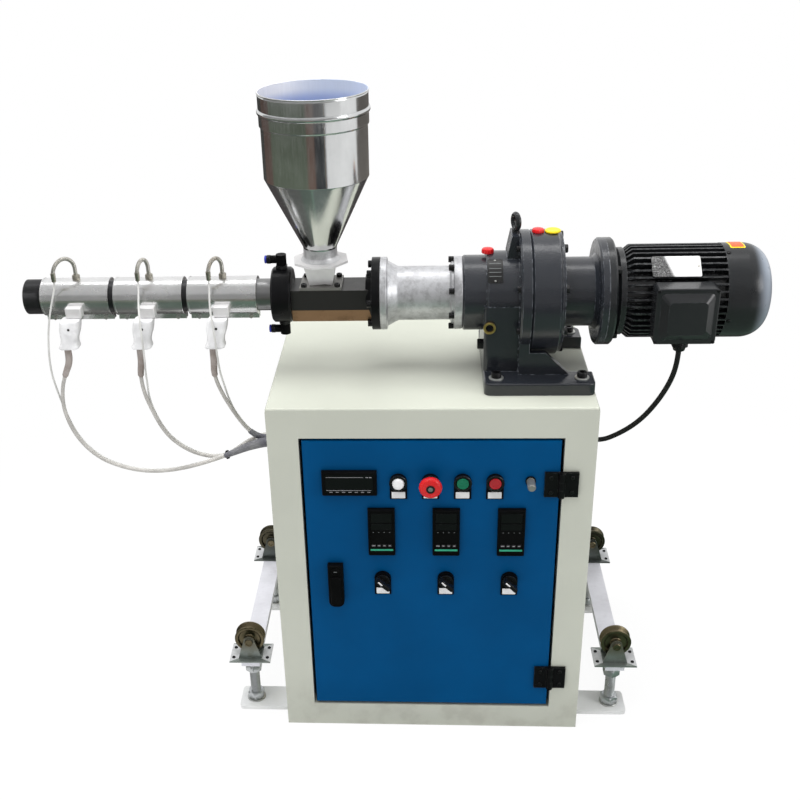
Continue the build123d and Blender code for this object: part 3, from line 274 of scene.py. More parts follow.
# Materials: expressions on wires add nodes
class Wire:
    """One output in a node tree. Sums, differences and products of wires add Math nodes."""

    def __init__(self, tree, socket=None):
        self.tree = tree
        self.socket = socket

    def node(self, kind, settings=None, inputs=None, output=0):
        """Adds a node: its settings first, a ramp's stops among them, then its sockets."""
        made = self.tree.nodes.new(kind)
        for key, value in (settings or {}).items():
            if key == "stops":
                ramp = made.color_ramp
                while len(ramp.elements) < len(value):
                    ramp.elements.new(1.0)
                for element, (position, colour) in zip(ramp.elements, value):
                    element.position = position
                    element.color = (*colour, 1.0)
            else:
                setattr(made, key, value)
        for key, value in (inputs or {}).items():
            if isinstance(value, Wire):
                self.tree.links.new(value.socket, made.inputs[key])
            else:
                made.inputs[key].default_value = value
        return Wire(self.tree, made.outputs[output])

    def maths(self, operation, *values):
        """A Math node's result."""
        return self.node("ShaderNodeMath", {"operation": operation}, dict(enumerate(values)))

    def __add__(self, other):
        return self.maths("ADD", self, other)

    __radd__ = __add__

    def __mul__(self, other):
        return self.maths("MULTIPLY", self, other)

    __rmul__ = __mul__

    def __sub__(self, other):
        return self.maths("SUBTRACT", self, other)

    def __rsub__(self, other):
        return self.maths("SUBTRACT", other, self)

    def step(self, low, high):
        """0 below low and 1 above high, smooth between."""
        return self.node(
            "ShaderNodeMapRange",
            {"interpolation_type": "SMOOTHSTEP"},
            {"Value": self, "From Min": low, "From Max": high},
        )

    def mix(self, first, second):
        """From the first colour to the second as this wire goes from 0 to 1."""
        first, second = [(*c, 1.0) if isinstance(c, tuple) else c for c in (first, second)]
        return self.node("ShaderNodeMix", {"data_type": "RGBA"}, {0: self, 6: first, 7: second}, 2)

    def coordinates(self, scale=(1, 1, 1)):
        """Object coordinates, stretched along each axis."""
        here = self.node("ShaderNodeTexCoord", output=3)
        return self.node("ShaderNodeMapping", None, {"Vector": here, "Scale": scale})

    def along(self, axis):
        """One of the object's own coordinates, in metres."""
        here = self.node("ShaderNodeTexCoord", output=3)
        return self.node("ShaderNodeSeparateXYZ", None, {"Vector": here}, axis)

    def noise(self, scale, detail=3.0, stretch=(1, 1, 1), rough=0.55):
        """Cloudy noise from about 0 to 1, that many patches to the metre."""
        settings = {"Scale": scale, "Detail": detail, "Roughness": rough}
        return self.node("ShaderNodeTexNoise", None, {"Vector": self.coordinates(stretch), **settings})

    def edges(self, radius, low=0.02, high=0.25):
        """1 on the outer and inner edges, from how far a rounded normal leaves the true one."""
        bent = self.node("ShaderNodeBevel", {"samples": 4}, {"Radius": radius})
        true = self.node("ShaderNodeNewGeometry", output=1)
        same = self.node("ShaderNodeVectorMath", {"operation": "DOT_PRODUCT"}, {0: bent, 1: true}, 1)
        return (1 - same).step(low, high)

    def bump(self, height, depth):
        """A normal bent by a height that runs from 0 to 1 over that depth in metres."""
        return self.node("ShaderNodeBump", None, {"Height": height, "Distance": depth, "Strength": 1.0})


def surfaced(owner, surface, kind="Material"):
    """Gives a material or world the surface that a function makes from a bare wire of its emptied tree."""
    owner.use_nodes = True
    tree = owner.node_tree
    tree.nodes.clear()
    made = surface(Wire(tree))
    out = tree.nodes.new(f"ShaderNodeOutput{kind}")
    tree.links.new(made.socket, out.inputs["Surface"])
    return owner


def material(name, shade):
    """A Principled material. The shade function gives its sockets from a bare wire."""

    def surface(start):
        return start.node("ShaderNodeBsdfPrincipled", None, shade(start))

    return surfaced(bpy.data.materials.new(name), surface)


def paint(
    colour,
    rough=0.4,
    peel=0.00006,
    grain=900.0,
    chips_and_highlight=(0.6, 0.6, 0.6),
    wear_and_highlight=0.25,
    dust=None,
    gloss=0.5,
    fade=0.86,
):
    """Sprayed paint: tone drifting down to fade, orange peel, edges turned pale as wear and painted
    highlight, and dust.
    """

    def shade(w):
        drift = w.noise(6.0, 4.0).step(0.3, 0.75)
        darker = tuple(c * fade for c in colour)
        tone = drift.mix(darker, colour)
        # Pale edges: chipped paint, and on the castings also a painted rim highlight
        rubbed_and_highlit = w.edges(0.0022) * w.noise(140.0, 4.0).step(0.42, 0.62) * wear_and_highlight
        tone = rubbed_and_highlit.mix(tone, chips_and_highlight)
        if dust:
            low = (1 - w.along(2).step(0.0, 0.16)) * w.noise(24.0, 5.0).step(0.42, 0.7) * 0.45
            tone = low.mix(tone, dust)
        peel_height = w.noise(grain, 2.0) + w.noise(30.0, 3.0) * 2.0
        return {
            "Base Color": tone,
            "Roughness": rough + (w.noise(55.0, 4.0) - 0.5) * 0.16,
            "Normal": w.bump(peel_height, peel),
            "Specular IOR Level": gloss,
        }

    return shade


def metal(
    colour,
    rough=0.3,
    streak=(1, 1, 1),
    scale=220.0,
    depth=0.00004,
    stain=None,
    stain_share=0.4,
    bare=1.0,
):
    """Bare or plated metal: streaks along its working direction, blotches and stains."""

    def shade(w):
        streaks = w.noise(scale, 4.0, streak)
        blotch = w.noise(18.0, 5.0).step(0.35, 0.7)
        darker = tuple(c * 0.78 for c in colour)
        tone = (streaks * 0.5 + blotch * 0.5).mix(darker, colour)
        if stain:
            tone = (w.noise(31.0, 6.0, rough=0.65).step(0.5, 0.72) * stain_share).mix(tone, stain)
        return {
            "Base Color": tone,
            "Metallic": bare,
            "Roughness": rough + (streaks - 0.5) * 0.22 + blotch * 0.06,
            "Normal": w.bump(streaks, depth),
        }

    return shade


def plastic(colour, rough=0.4, grain=1400.0, depth=0.00003, second=None, gloss=0.5):
    """Moulded plastic: fine spark-eroded grain and a slight drift of tone."""

    def shade(w):
        drift = w.noise(40.0, 3.0).step(0.3, 0.7)
        tone = drift.mix(second or tuple(c * 0.8 for c in colour), colour)
        return {
            "Base Color": tone,
            "Roughness": rough + (w.noise(90.0, 3.0) - 0.5) * 0.2,
            "Normal": w.bump(w.noise(grain, 2.0), depth),
            "Specular IOR Level": gloss,
        }

    return shade


def lining_with_painted_reflection(w):
    """Satin sheet inside the hopper with painted reflection: pale lilac under the rim to one side, bluer to
    the other, dark blue deeper down, plain grey steel lowest.
    """
    # Painted reflection: these tone changes across and down the sheet stand for the room mirrored in it
    side = w.along(0).step((hopper_x - 85) * METRE, (hopper_x + 20) * METRE)
    deep = 1 - w.along(2).step((axis_z + 316) * METRE, (axis_z + 338) * METRE)
    tone = deep.mix(side.mix((1.0, 0.98, 0.98), (0.66, 0.73, 0.87)), (0.3, 0.4, 0.72))
    bottom = 1 - w.along(2).step((axis_z + 285) * METRE, (axis_z + 314) * METRE)
    tone = bottom.mix(tone, (0.5, 0.53, 0.58))
    streaks = w.noise(24.0, 4.0, (14, 14, 1))
    return {
        "Base Color": (streaks * 0.35).mix(tone, (0.5, 0.52, 0.6)),
        "Metallic": 0.3,
        "Roughness": 0.42 + streaks * 0.12,
        "Normal": w.bump(streaks, 0.00001),
    }


def scaled_barrel(w):
    """Black scale on the heated length of the barrel, bare grey steel on the stub behind the last band."""
    stub_x = -303.0
    made = metal((0.07, 0.07, 0.073), 0.32, (12, 1, 1), 90.0, stain=(0.02, 0.018, 0.016))(w)
    stub = w.along(0).step((stub_x - 0.5) * METRE, (stub_x + 0.5) * METRE) * (0.7 + w.noise(40.0, 4.0) * 0.4)
    made["Base Color"] = stub.mix(made["Base Color"], (0.3, 0.3, 0.3))
    return made


def stained_casting(w):
    """Cast aluminium, machined bright: cloudy grey stains of two sizes over fine streaks."""
    made = metal((0.675, 0.68, 0.7), 0.36, (4, 1, 1), 60.0, 0.00005, (0.3, 0.3, 0.31), 0.8, 0.76)(w)
    patches = w.noise(70.0, 5.0, rough=0.7).step(0.44, 0.62) * 0.4
    made["Base Color"] = patches.mix(made["Base Color"], (0.29, 0.29, 0.3))
    return made


def oily_bracket(w):
    """Green-grey plating, oily brown towards the axle, and darker on the rear brackets as painted shade."""
    made = metal((0.27, 0.3, 0.28), 0.36, (1, 1, 1), 120.0, 0.00004, (0.14, 0.14, 0.11), 0.7, 0.7)(w)
    oil = w.along(2).step(140 * METRE, 158 * METRE) * 0.75
    # Painted shade: the rear brackets are made darker
    rear = w.along(1).step(-50 * METRE, 50 * METRE) * 0.7
    made["Base Color"] = rear.mix(oil.mix(made["Base Color"], (0.16, 0.145, 0.1)), (0.06, 0.07, 0.065))
    return made


def cowl_with_painted_sheen(w):
    """Black paint with a painted pale blue-grey sheen on the cowl's rounded end, stronger upwards and less on
    its flat face.
    """
    made = paint((0.011, 0.012, 0.0132), 0.3, 0.00006, 500.0, (0.13, 0.135, 0.14), 0.5, gloss=0.42)(w)
    rounding = w.along(0).step(536 * METRE, 562 * METRE)
    face = w.along(0).step(567.5 * METRE, 569.5 * METRE)
    sheen_towards_top = w.along(2).step(770 * METRE, 900 * METRE)
    # Painted sheen: light glancing off the rounded end, drawn into the base colour
    painted_sheen = rounding * (0.45 + sheen_towards_top * 0.5) * (0.75 + w.noise(30.0, 4.0) * 0.4) * (1 - face * 0.7)
    made["Base Color"] = painted_sheen.mix(made["Base Color"], (0.32, 0.365, 0.43))
    return made


def two_tone_plate(w):
    """A bare nameplate: bright on the right, dark and speckled on the left of a slanting edge."""
    across = w.along(0) + w.along(2) * 0.55
    dark = 1 - across.step(883 * METRE, 891 * METRE)
    speckle = w.noise(700.0, 2.0).step(0.45, 0.62)
    return {
        "Base Color": dark.mix((0.72, 0.72, 0.72), speckle.mix((0.02, 0.02, 0.02), (0.22, 0.22, 0.22))),
        "Metallic": 0.2,
        "Roughness": 0.4 + (w.noise(60.0, 3.0) - 0.5) * 0.2,
    }


shades = {
    # Paints
    "cream_paint": paint((0.468, 0.483, 0.419), 0.42, dust=(0.3, 0.29, 0.25), gloss=0.3, fade=0.95),
    "blue_paint": paint((0.0, 0.06, 0.178), 0.34, 0.000012, chips_and_highlight=(0.1, 0.2, 0.32), wear_and_highlight=0.2, gloss=0.03),
    # The castings' pale blue-grey edges are partly wear and partly painted rim highlight
    "casting_paint": paint((0.0135, 0.0155, 0.02), 0.22, 0.0003, 320.0, (0.22, 0.235, 0.26), 0.9, gloss=0.7),
    "motor_paint": paint((0.011, 0.012, 0.0132), 0.24, 0.00006, 500.0, (0.16, 0.165, 0.17), 0.6, gloss=0.55),
    "cowl_paint": cowl_with_painted_sheen,
    "collar_paint": paint((0.004, 0.004, 0.0045), 0.3, 0.00008, 420.0, (0.09, 0.09, 0.09), 0.5, gloss=0.14),
    "black_metal": paint((0.018, 0.0175, 0.0165), 0.36, 0.0001, 420.0, (0.1, 0.095, 0.09), 0.4, gloss=0.3),
    "lug_paint": paint((0.82, 0.83, 0.83), 0.5, chips_and_highlight=(0.5, 0.5, 0.5), dust=(0.7, 0.7, 0.68)),
    # Metals
    "band_steel": metal((0.86, 0.86, 0.86), 0.23, (1, 2, 2), 30.0, 0.000004),
    "barrel_steel": scaled_barrel,
    "stainless": metal((0.74, 0.75, 0.75), 0.12, (14, 14, 1), 24.0, 0.00001),
    "stainless_inside": lining_with_painted_reflection,
    "aluminium": metal((0.66, 0.665, 0.675), 0.34, (4, 1, 1), 60.0, 0.00005, (0.3, 0.3, 0.31), 0.8, 0.55),
    "lantern_aluminium": stained_casting,
    "zinc": metal((0.55, 0.56, 0.54), 0.34, (1, 1, 1), 160.0, 0.00004, (0.5, 0.42, 0.28), 0.5, 0.8),
    "bracket_zinc": oily_bracket,
    "tab_zinc": metal((0.62, 0.63, 0.64), 0.44, (1, 1, 1), 120.0, 0.00004, (0.3, 0.32, 0.3), 0.6, 0.3),
    "yellow_zinc": metal((0.2, 0.165, 0.1), 0.3, (1, 8, 1), 90.0, 0.00005, (0.07, 0.05, 0.03), 0.7),
    # A darker copy of the front wheels' yellow zinc: painted shade for the rear wheels
    "oiled_zinc": metal((0.1, 0.09, 0.06), 0.3, (1, 8, 1), 90.0, 0.00005, (0.04, 0.035, 0.025), 0.7),
    "screw_steel": metal((0.58, 0.6, 0.61), 0.3, (1, 1, 1), 160.0, 0.00004, (0.3, 0.3, 0.28), 0.5, 0.9),
    "bare_steel": metal((0.82, 0.82, 0.88), 0.46, (1, 6, 1), 70.0, 0.00005, (0.55, 0.53, 0.58), 0.4, 0.3),
    "cover_steel": metal((0.8, 0.79, 0.79), 0.4, (1, 1, 1), 120.0, bare=0.3),
    "plate_steel": metal(
        (0.26, 0.255, 0.24), 0.4, (1, 1, 1), 120.0, stain=(0.08, 0.07, 0.06), stain_share=0.6, bare=0.6
    ),
    "spring_steel": metal(
        (0.62, 0.6, 0.55), 0.3, (1, 1, 1), 160.0, stain=(0.34, 0.24, 0.14), stain_share=0.6
    ),
    "bronze_face": metal((0.33, 0.2, 0.12), 0.4, (8, 1, 1), 60.0, stain=(0.12, 0.07, 0.04), stain_share=0.6),
    "brass": metal((0.62, 0.45, 0.15), 0.28, (1, 1, 1), 200.0, 0.00003, (0.3, 0.18, 0.06), 0.4),
    "brass_dull": metal((0.5, 0.47, 0.4), 0.34, (1, 1, 1), 160.0),
    "silver_knob": metal((0.36, 0.36, 0.34), 0.3, (1, 1, 1), 200.0, bare=0.6),
    "plate_silver": two_tone_plate,
    # Plastics, rubber, ceramic and cable coverings
    "black_plastic": plastic((0.003, 0.003, 0.0033), 0.42, gloss=0.07),
    "black_gloss": plastic((0.005, 0.005, 0.0055), 0.26, gloss=0.3),
    "black_rubber": plastic((0.009, 0.009, 0.009), 0.5, 600.0, 0.00005, gloss=0.3),
    "display_glass": plastic((0.003, 0.003, 0.0035), 0.14, 300.0, 0.000005, gloss=0.2),
    "key_plastic": plastic((0.012, 0.012, 0.013), 0.4, gloss=0.3),
    "plate_black": plastic((0.008, 0.008, 0.008), 0.3, gloss=0.4),
    "ceramic": plastic((0.82, 0.82, 0.83), 0.24, 120.0, 0.00004),
    "red_plastic": plastic((0.62, 0.01, 0.012), 0.26),
    "deep_red_plastic": plastic((0.36, 0.005, 0.012), 0.28),
    "green_plastic": plastic((0.003, 0.15, 0.075), 0.28, gloss=0.3),
    "white_plastic": plastic((0.8, 0.8, 0.8), 0.26),
    "yellow_plastic": plastic((0.85, 0.62, 0.01), 0.35),
    "blue_plastic": plastic((0.02, 0.03, 0.35), 0.3),
    "pale_cable": plastic((0.5, 0.485, 0.46), 0.48, 700.0, 0.00006),
    "lead_braid": plastic((0.66, 0.66, 0.64), 0.42, 900.0, 0.00006),
    "sleeve_braid": plastic((0.1, 0.1, 0.12), 0.5, 600.0, 0.00015, (0.2, 0.2, 0.21)),
    "cuff_fibre": plastic((0.36, 0.32, 0.3), 0.62, 500.0, 0.0002, (0.24, 0.2, 0.18)),
    # Cards and plain printed marks
    "label_card": plastic((0.72, 0.72, 0.72), 0.5),
    "pale_print": plastic((0.24, 0.235, 0.25), 0.5),
    "grey_print": plastic((0.13, 0.14, 0.14), 0.5),
    "green_print": plastic((0.012, 0.34, 0.19), 0.42),
    "orange_print": plastic((0.72, 0.09, 0.02), 0.4),
    "badge_print": plastic((0.13, 0.17, 0.15), 0.4),
}
looks = {name: material(name, shade) for name, shade in shades.items()}

# The record's slot that the pieces of each look belong to. Printed marks have none
slot_looks = {
    "aluminium": "cover_steel lantern_aluminium plate_silver",
    "band_steel": "band_steel",
    "barrel_steel": "barrel_steel",
    "black_metal": "black_gloss black_metal plate_black",
    "black_plastic": "black_plastic display_glass key_plastic badge_print",
    "black_rubber": "black_rubber",
    "blue_paint": "blue_plastic",
    "brass": "brass yellow_plastic",
    "ceramic": "ceramic",
    "green_plastic": "green_plastic green_print",
    "pale_cable": "pale_cable lead_braid cuff_fibre sleeve_braid",
    "red_plastic": "red_plastic deep_red_plastic orange_print",
    "silver_knob": "silver_knob",
    "stainless": "stainless aluminium",
    "white_plastic": "white_plastic label_card",
    "zinc": "zinc spring_steel brass_dull screw_steel yellow_zinc oiled_zinc",
}
slots = {look: slot for slot, names in slot_looks.items() for look in names.split()}

# Looks of the CAD model's own nodes
node_looks = {
    "cream_paint": "cabinet_top cabinet_left_side cabinet_right_side cabinet_back cabinet_floor"
    " front_frame_stiles front_frame_rails",
    "lug_paint": "floor_lugs",
    "blue_paint": "door_panel",
    "casting_paint": "reducer_base reducer_ring reducer_input_neck",
    "motor_paint": "motor_end_shield motor_frame terminal_box lifting_eye",
    "cowl_paint": "motor_fan_cowl",
    "black_metal": "feed_block",
    "collar_paint": "cooling_collar hinge_frame_leaves hinge_door_leaves",
    "black_plastic": "door_lock speed_meter temperature_controllers control_bases water_elbows"
    " selector_knob_1 selector_knob_2 selector_knob_3",
    "black_rubber": "cable_glands motor_cable",
    "band_steel": "heater_bands",
    "barrel_steel": "barrel barrel_end_nut",
    "stainless": "hopper_cone hopper_cylinder",
    "lantern_aluminium": "lantern",
    "cover_steel": "hopper_throat",
    "zinc": "thermocouples",
    "screw_steel": "jack_screws",
    "bracket_zinc": "wheel_brackets",
    "yellow_zinc": "track_wheel_front_left track_wheel_front_right",
    "oiled_zinc": "track_wheel_rear_left track_wheel_rear_right",
    "bare_steel": "tie_bars",
    "ceramic": "heater_plugs",
    "red_plastic": "emergency_stop stop_button oil_fittings",
    "green_plastic": "start_button",
    "white_plastic": "indicator_lamp",
    "silver_knob": "speed_knob",
    "pale_cable": "heater_cable_1 heater_cable_2 heater_cable_3",
    "lead_braid": "thermocouple_lead_1 thermocouple_lead_2 thermocouple_lead_3",
}
for look, names in node_looks.items():
    for node in names.split():
        node_materials = frame["nodes"][node].data.materials
        node_materials.clear()
        node_materials.append(looks[look])


def relook(node, look, chosen):
    """Another look for the polygons of a CAD node that a test of their middle and normal chooses."""
    data = frame["nodes"][node].data
    data.materials.append(looks[look])
    for polygon in data.polygons:
        if chosen(*(c / METRE for c in polygon.center), polygon.normal):
            polygon.material_index = len(data.materials) - 1


def sloping_face(x, y, z, normal):
    """The feed block's machined face, which slopes in under its side."""
    return -240 < x < -113 and y < axis_y - 24 and axis_z - 42 < z < axis_z - 18 and abs(normal.x) < 0.3


relook("feed_block", "bronze_face", sloping_face)
relook("feed_block", "collar_paint", lambda x, y, z, normal: x > -113)
relook("hopper_throat", "plate_steel", lambda x, y, z, normal: z < axis_z + 24)
relook("wheel_brackets", "tab_zinc", lambda x, y, z, normal: z < 128.5 and abs(abs(x) - screw_x) > 23.5)

# Cords: each a smooth line through its route's points, in millimetres. A thermocouple's lead joins its
# heater's cable at that route's fifth point, and lies behind it from there
heater_routes = (
    (
        (-646, -103, 739), (-646, -103, 725), (-657, -101, 703), (-671, -97, 668), (-676, -93, 620),
        (-661, -90, 564), (-628, -87, 520), (-584, -85, 497), (-535, -83, 486), (-483, -81, 489),
        (-430, -79, 502), (-382, -77, 519), (-340, -74, 537), (-310, -73, 545), (-294, -73, 545),
    ),
    (
        (-515, -103, 739), (-515, -103, 725), (-522, -98, 697), (-522, -90, 657), (-511, -83, 611),
        (-496, -77, 568), (-474, -72, 539), (-446, -67, 518), (-415, -64, 508), (-386, -61, 510),
        (-362, -55, 525), (-340, -48, 538), (-314, -41, 545), (-294, -41, 545),
    ),
    (
        (-384, -103, 739), (-384, -103, 725), (-388, -97, 696), (-380, -88, 657), (-363, -79, 613),
        (-345, -68, 574), (-329, -61, 554), (-312, -57, 545), (-294, -57, 545),
    ),
)
lead_starts = (
    (
        (-653, -96, 874), (-653, -96, 864), (-666, -98, 826), (-676, -100, 788), (-683, -99, 745),
        (-686, -96, 700), (-683, -90, 662),
    ),
    (
        (-505, -96, 874), (-505, -96, 864), (-506, -112, 827), (-503, -124, 803), (-503, -125, 766),
        (-505, -118, 734), (-510, -105, 703), (-513, -92, 676), (-516, -82, 645),
    ),
    (
        (-381, -96, 874), (-381, -96, 864), (-381, -112, 827), (-376, -124, 803), (-374, -125, 766),
        (-374, -118, 734), (-375, -105, 703), (-373, -92, 676), (-370, -80, 645),
    ),
)
lead_behind, joined_from = 6.5, 4
lead_routes = [
    (*begin, *[(x, y + lead_behind, z) for x, y, z in route[joined_from:]])
    for begin, route in zip(lead_starts, heater_routes)
]
motor_route = (
    (414, -157, 766), (414, -157, 748), (412, -149, 715), (404, -139, 682), (391, -128, 648),
    (373, -119, 616), (352, -110, 591), (328, -103, 572), (310, -100, 563), (294, -100, 563),
)
cord_table = [
    ("heater_cable", heater_routes, (0.5855, 0.4127, 0.2401), 0.007, "pale_cable"),
    ("thermocouple_lead", lead_routes, (0.7207, 0.5589, 0.3848), 0.0035, "lead_braid"),
    ("motor_cable", (motor_route,), (0.2641,), 0.009, "black_rubber"),
]


def cord(name, route, diameter, look):
    """A round cord: one open spline of order 3 whose control points are the route's."""
    curve = bpy.data.curves.new(name, "CURVE")
    curve.dimensions = "3D"
    curve.bevel_depth = diameter / 2
    curve.bevel_resolution = 4
    curve.use_fill_caps = True
    spline = curve.splines.new("NURBS")
    spline.points.add(len(route) - 1)
    places = np.ones((len(route), 4))
    places[:, :3] = np.array(route, float) * METRE
    spline.points.foreach_set("co", places.ravel())
    spline.order_u = 3
    spline.use_endpoint_u = True
    spline.resolution_u = 10
    curve.materials.append(looks[look])
    return linked(name, curve)


for node, routes, lengths, diameter, look in cord_table:
    for number, (route, length) in enumerate(zip(routes, lengths), 1):
        target = node if len(routes) == 1 else f"{node}_{number}"
        line = cord(f"{target}_line", route, diameter, look)
        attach(line, "machine")
        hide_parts(target)
        tuple(c * METRE for c in route[0])


# Door furniture, placed on the door's face
def on_door(shape, x, z, proud=0.0, across=RIGHT):
    """A local shape standing on the door's face, its x axis across."""
    return place(shape, (x, front_y - proud, z), FRONT, across)


def window(width, height, border, rise, drop):
    """A bezel: its outline up to a soft rim, in to the window's edge and down to the window's floor."""
    outer = rounded(width, height, 2.0)
    rim = rounded(width - 1.4, height - 1.4, 1.5)
    opening = rounded(width - 2 * border, height - 2 * border, 1.2)
    return stack((outer, 0), (outer, rise - 0.6), (rim, rise), (opening, rise), (opening, rise - drop))


meter_x, meter_z = -141.0, 550.0
columns = (-87.0, 27.0, 141.0)
controller_z, selector_z, button_z = 450.0, 349.0, 552.0
buttons = (-56.0, -0.5, 55.0, 110.5)
lamp_x, emergency_x, start_x, stop_x = buttons
bezel_front, window_floor = 7.0, 0.9

meter_marks = [slab(65, 0.9, 0.25, 0.3, 0.1, (-7.5, 13.5)), slab(78, 0.9, 0.25, 0.3, 0.1, (-1, -12.5))]
meter_marks += [slab(4.5, 1.6, 0.25, 0.4, 0.1, (31 + 6 * step, 13.5)) for step in range(2)]
meter_marks += [slab(5.5, 1.4, 0.25, 0.4, 0.1, (-32 + 11 * step, -16)) for step in range(7)]
for name, shapes, proud, look in (
    ("meter_bezel", [window(94, 46, 5, 1.8, 1.3)], 0.0, "black_plastic"),
    ("meter_glass", [slab(83.4, 35.4, 0.5, 1.0, 0.2)], 0.5, "display_glass"),
    ("meter_marks", meter_marks, 0.95, "pale_print"),
):
    build(name, [on_door(shape, meter_x, meter_z, bezel_front + proud) for shape in shapes], look, "door")

keys = [-14.4 + 9.6 * step for step in range(4)]
mark_widths = (6.4, 4.2, 4.2, 4.2)
displays = [slab(37, height, 0.6, 1.2, 0.25, (0, rise)) for height, rise in ((19, 31), (13, 13))]
key_marks = [slab(width, 2.0, 0.2, 0.3, 0.1, (key, -26)) for key, width in zip(keys, mark_widths)]
for name, shapes, proud, look in (
    ("bezels", [window(46, 94, 2.6, 1.8, 0.9)], 0.0, "black_plastic"),
    ("displays", displays, window_floor, "display_glass"),
    ("keys", [slab(7.4, 5.4, 1.0, 1.4, 0.4, (key, -26)) for key in keys], window_floor, "key_plastic"),
    ("stripes", [slab(40.6, 3.6, 0.5, 0.5, 0.2, (0, -35.5))], window_floor, "green_print"),
    ("lamps", [slab(2.2, 1.1, 0.3, 0.4, 0.1, (key, 1.5)) for key in keys], window_floor, "grey_print"),
    ("marks", key_marks, 1.9, "pale_print"),
):
    placed = [on_door(shape, x, controller_z, bezel_front + proud) for x in columns for shape in shapes]
    build(f"controller_{name}", placed, look, "door")

card, card_drop = slab(23.5, 12.5, 0.5, 0.8, 0.15), 27.0
card_places = [(x, button_z) for x in buttons] + [(x, selector_z) for x in columns]
build("legend_cards", [on_door(card, x, z - card_drop, 2.0) for x, z in card_places], "label_card", "door")
# Open rings, which the caps sink into when they are pressed
ring_profile = [(0, 11.2), (0, 15.6), (3.4, 15.6), (4.2, 14.8), (4.2, 12.2), (3.2, 11.2), (0, 11.2)]
collars = [on_door(lathe(ring_profile, 48), x, button_z, 6.4) for x in buttons]
build("button_collars", collars, "black_gloss", "door", "black_plastic")

lens = turned([(0, 0), (0, 10.3), (13, 10.3), (16.4, 7.6), (17, 0)], 2.5, 6)
lens = on_door(lens, lamp_x, button_z)
build("indicator_lens", [lens], "white_plastic", "door", replaces=["indicator_lamp"])
mushroom_profile = [
    (0, 0), (0, 10.3), (16, 10.3), (17, 17), (19, 19.6), (24, 20), (28.4, 17), (30, 9.5), (29.2, 8.4),
    (28.8, 0),
]
mushroom = turned(mushroom_profile, 1.6, 5, 72)
arrow_ring = discs((7.6, 0), (7.6, 0.5), (7.2, 0.7), (4.6, 0.7), (4.4, 0.3))
badge = discs((4.1, 0), (4.1, 0.5), (3.7, 0.7))
cap = turned([(0, 0), (0, 10.3), (11, 10.3), (11, 8.4), (10.2, 7.6), (10, 0)], 0.7, 5)
for name, shape, x, proud, look, body, replaced in (
    ("stop_mushroom", mushroom, emergency_x, 0.0, "red_plastic", "emergency_stop", ["emergency_stop"]),
    ("stop_centre", arrow_ring, emergency_x, 29.1, "key_plastic", "emergency_stop", []),
    ("stop_badge", badge, emergency_x, 29.3, "badge_print", "emergency_stop", []),
    ("start_cap", cap, start_x, 0.0, "green_plastic", "start_button", ["start_button"]),
    ("stop_cap", cap, stop_x, 0.0, "deep_red_plastic", "stop_button", ["stop_button"]),
):
    build(name, [on_door(shape, x, button_z, proud)], look, body, replaces=replaced)

pointer = (-1, 0, 1)
stem = turned([(0, 0), (0, 10.3), (8.3, 10.3), (8.3, 13), (12, 13), (12.3, 12.6), (12.3, 0)], 0.6)
bar_outer, bar_inner = rounded(30, 8, 3.9, 6, (-3, 0)), rounded(28, 6, 2.9, 6, (-3, 0))
bar = stack((bar_outer, 12), (bar_outer, 23.8), (bar_inner, 25.3))
bar_mark = slab(10.5, 2.6, 0.4, 0.8, 0.15, (5.2, 0))
for number, x in enumerate(columns, 1):
    body = f"selector_knob_{number}"
    knob = [on_door(stem, x, selector_z), on_door(bar, x, selector_z, 0, pointer)]
    build(f"{body}_bar", knob, "black_gloss", body, "black_plastic", [body])
    build(f"{body}_pointer", [on_door(bar_mark, x, selector_z, 25.2, pointer)], "label_card", body)

speed_x, speed_z = 171.0, 553.0
angle = np.arange(150) * (2 * math.pi / 150)
knurl = (6.9 + 0.26 * np.cos(30 * angle))[:, None] * ring(1, 150)
crown, rim, well, well_floor = (ring(radius, 150) for radius in (6.3, 5.5, 4.4, 4.2))
grip = stack(
    (crown, 3.3), (knurl, 4.2), (knurl, 24.8), (crown, 26.4), (rim, 27.3), (well, 27.3), (well_floor, 26.9)
)
build("speed_grip", [on_door(grip, speed_x, speed_z)], "silver_knob", "speed_knob", replaces=["speed_knob"])
nut = stack((hexagon(15, 24), 0), (hexagon(15, 24), 2.4), (ring(7, 24), 3.1))
build("speed_nut", [on_door(nut, speed_x, speed_z)], "zinc", "door")

lock_x, lock_z, lock_face = -172.0, 336.0, 11.8
lever = stack((rounded(20, 62, 6), 0), (rounded(20, 62, 6), 1.6), (rounded(17.6, 59.6, 5), 2.6))
lock_button = discs((7.5, 0), (7.5, 1.2), (6.6, 2.0), (5.6, 2.0), (5.4, 1.0))
for name, shape, rise, proud, look in (
    ("lock_lever", lever, -9, lock_face, "black_plastic"),
    ("lock_button", lock_button, 33, lock_face, "black_plastic"),
    ("lock_slot", slab(6.2, 1.3, 0.4, 0.4, 0.1), 33, 12.8, "grey_print"),
):
    build(name, [on_door(shape, lock_x, lock_z + rise, proud)], look, "door")

hinge_x, hinge_rows, leaf_face = 223.5, (547.0, 125.0), 4.9
hinge_screw_rows = [z + rise for z in hinge_rows for rise in (-14.5, 14.5)]
for side, body, name in ((-1, "door", "hinge_screws_door"), (1, "machine", "hinge_screws_frame")):
    heads = [on_door(pan_screw(4.6, 2.2), hinge_x + side * 18.0, z, leaf_face) for z in hinge_screw_rows]
    build(name, heads, "black_gloss", body)

# Barrel: the end nut's fine thread, the heaters' plugs, the probes' armour and the water elbows
nut_along = np.linspace(-718.0, -687.0, 125)
nut_reach = 31.0 - 0.5 * np.abs(np.sin(math.pi * nut_along / 1.5))
nut_profile = np.concatenate(
    [[(-687, 12.6), (-719, 12.6), (-719, 29.0)], np.stack([nut_along, nut_reach], 1), [(-687, 12.6)]]
)
build("end_nut_thread", [on_axis(lathe(nut_profile))], "barrel_steel", replaces=["barrel_end_nut"])

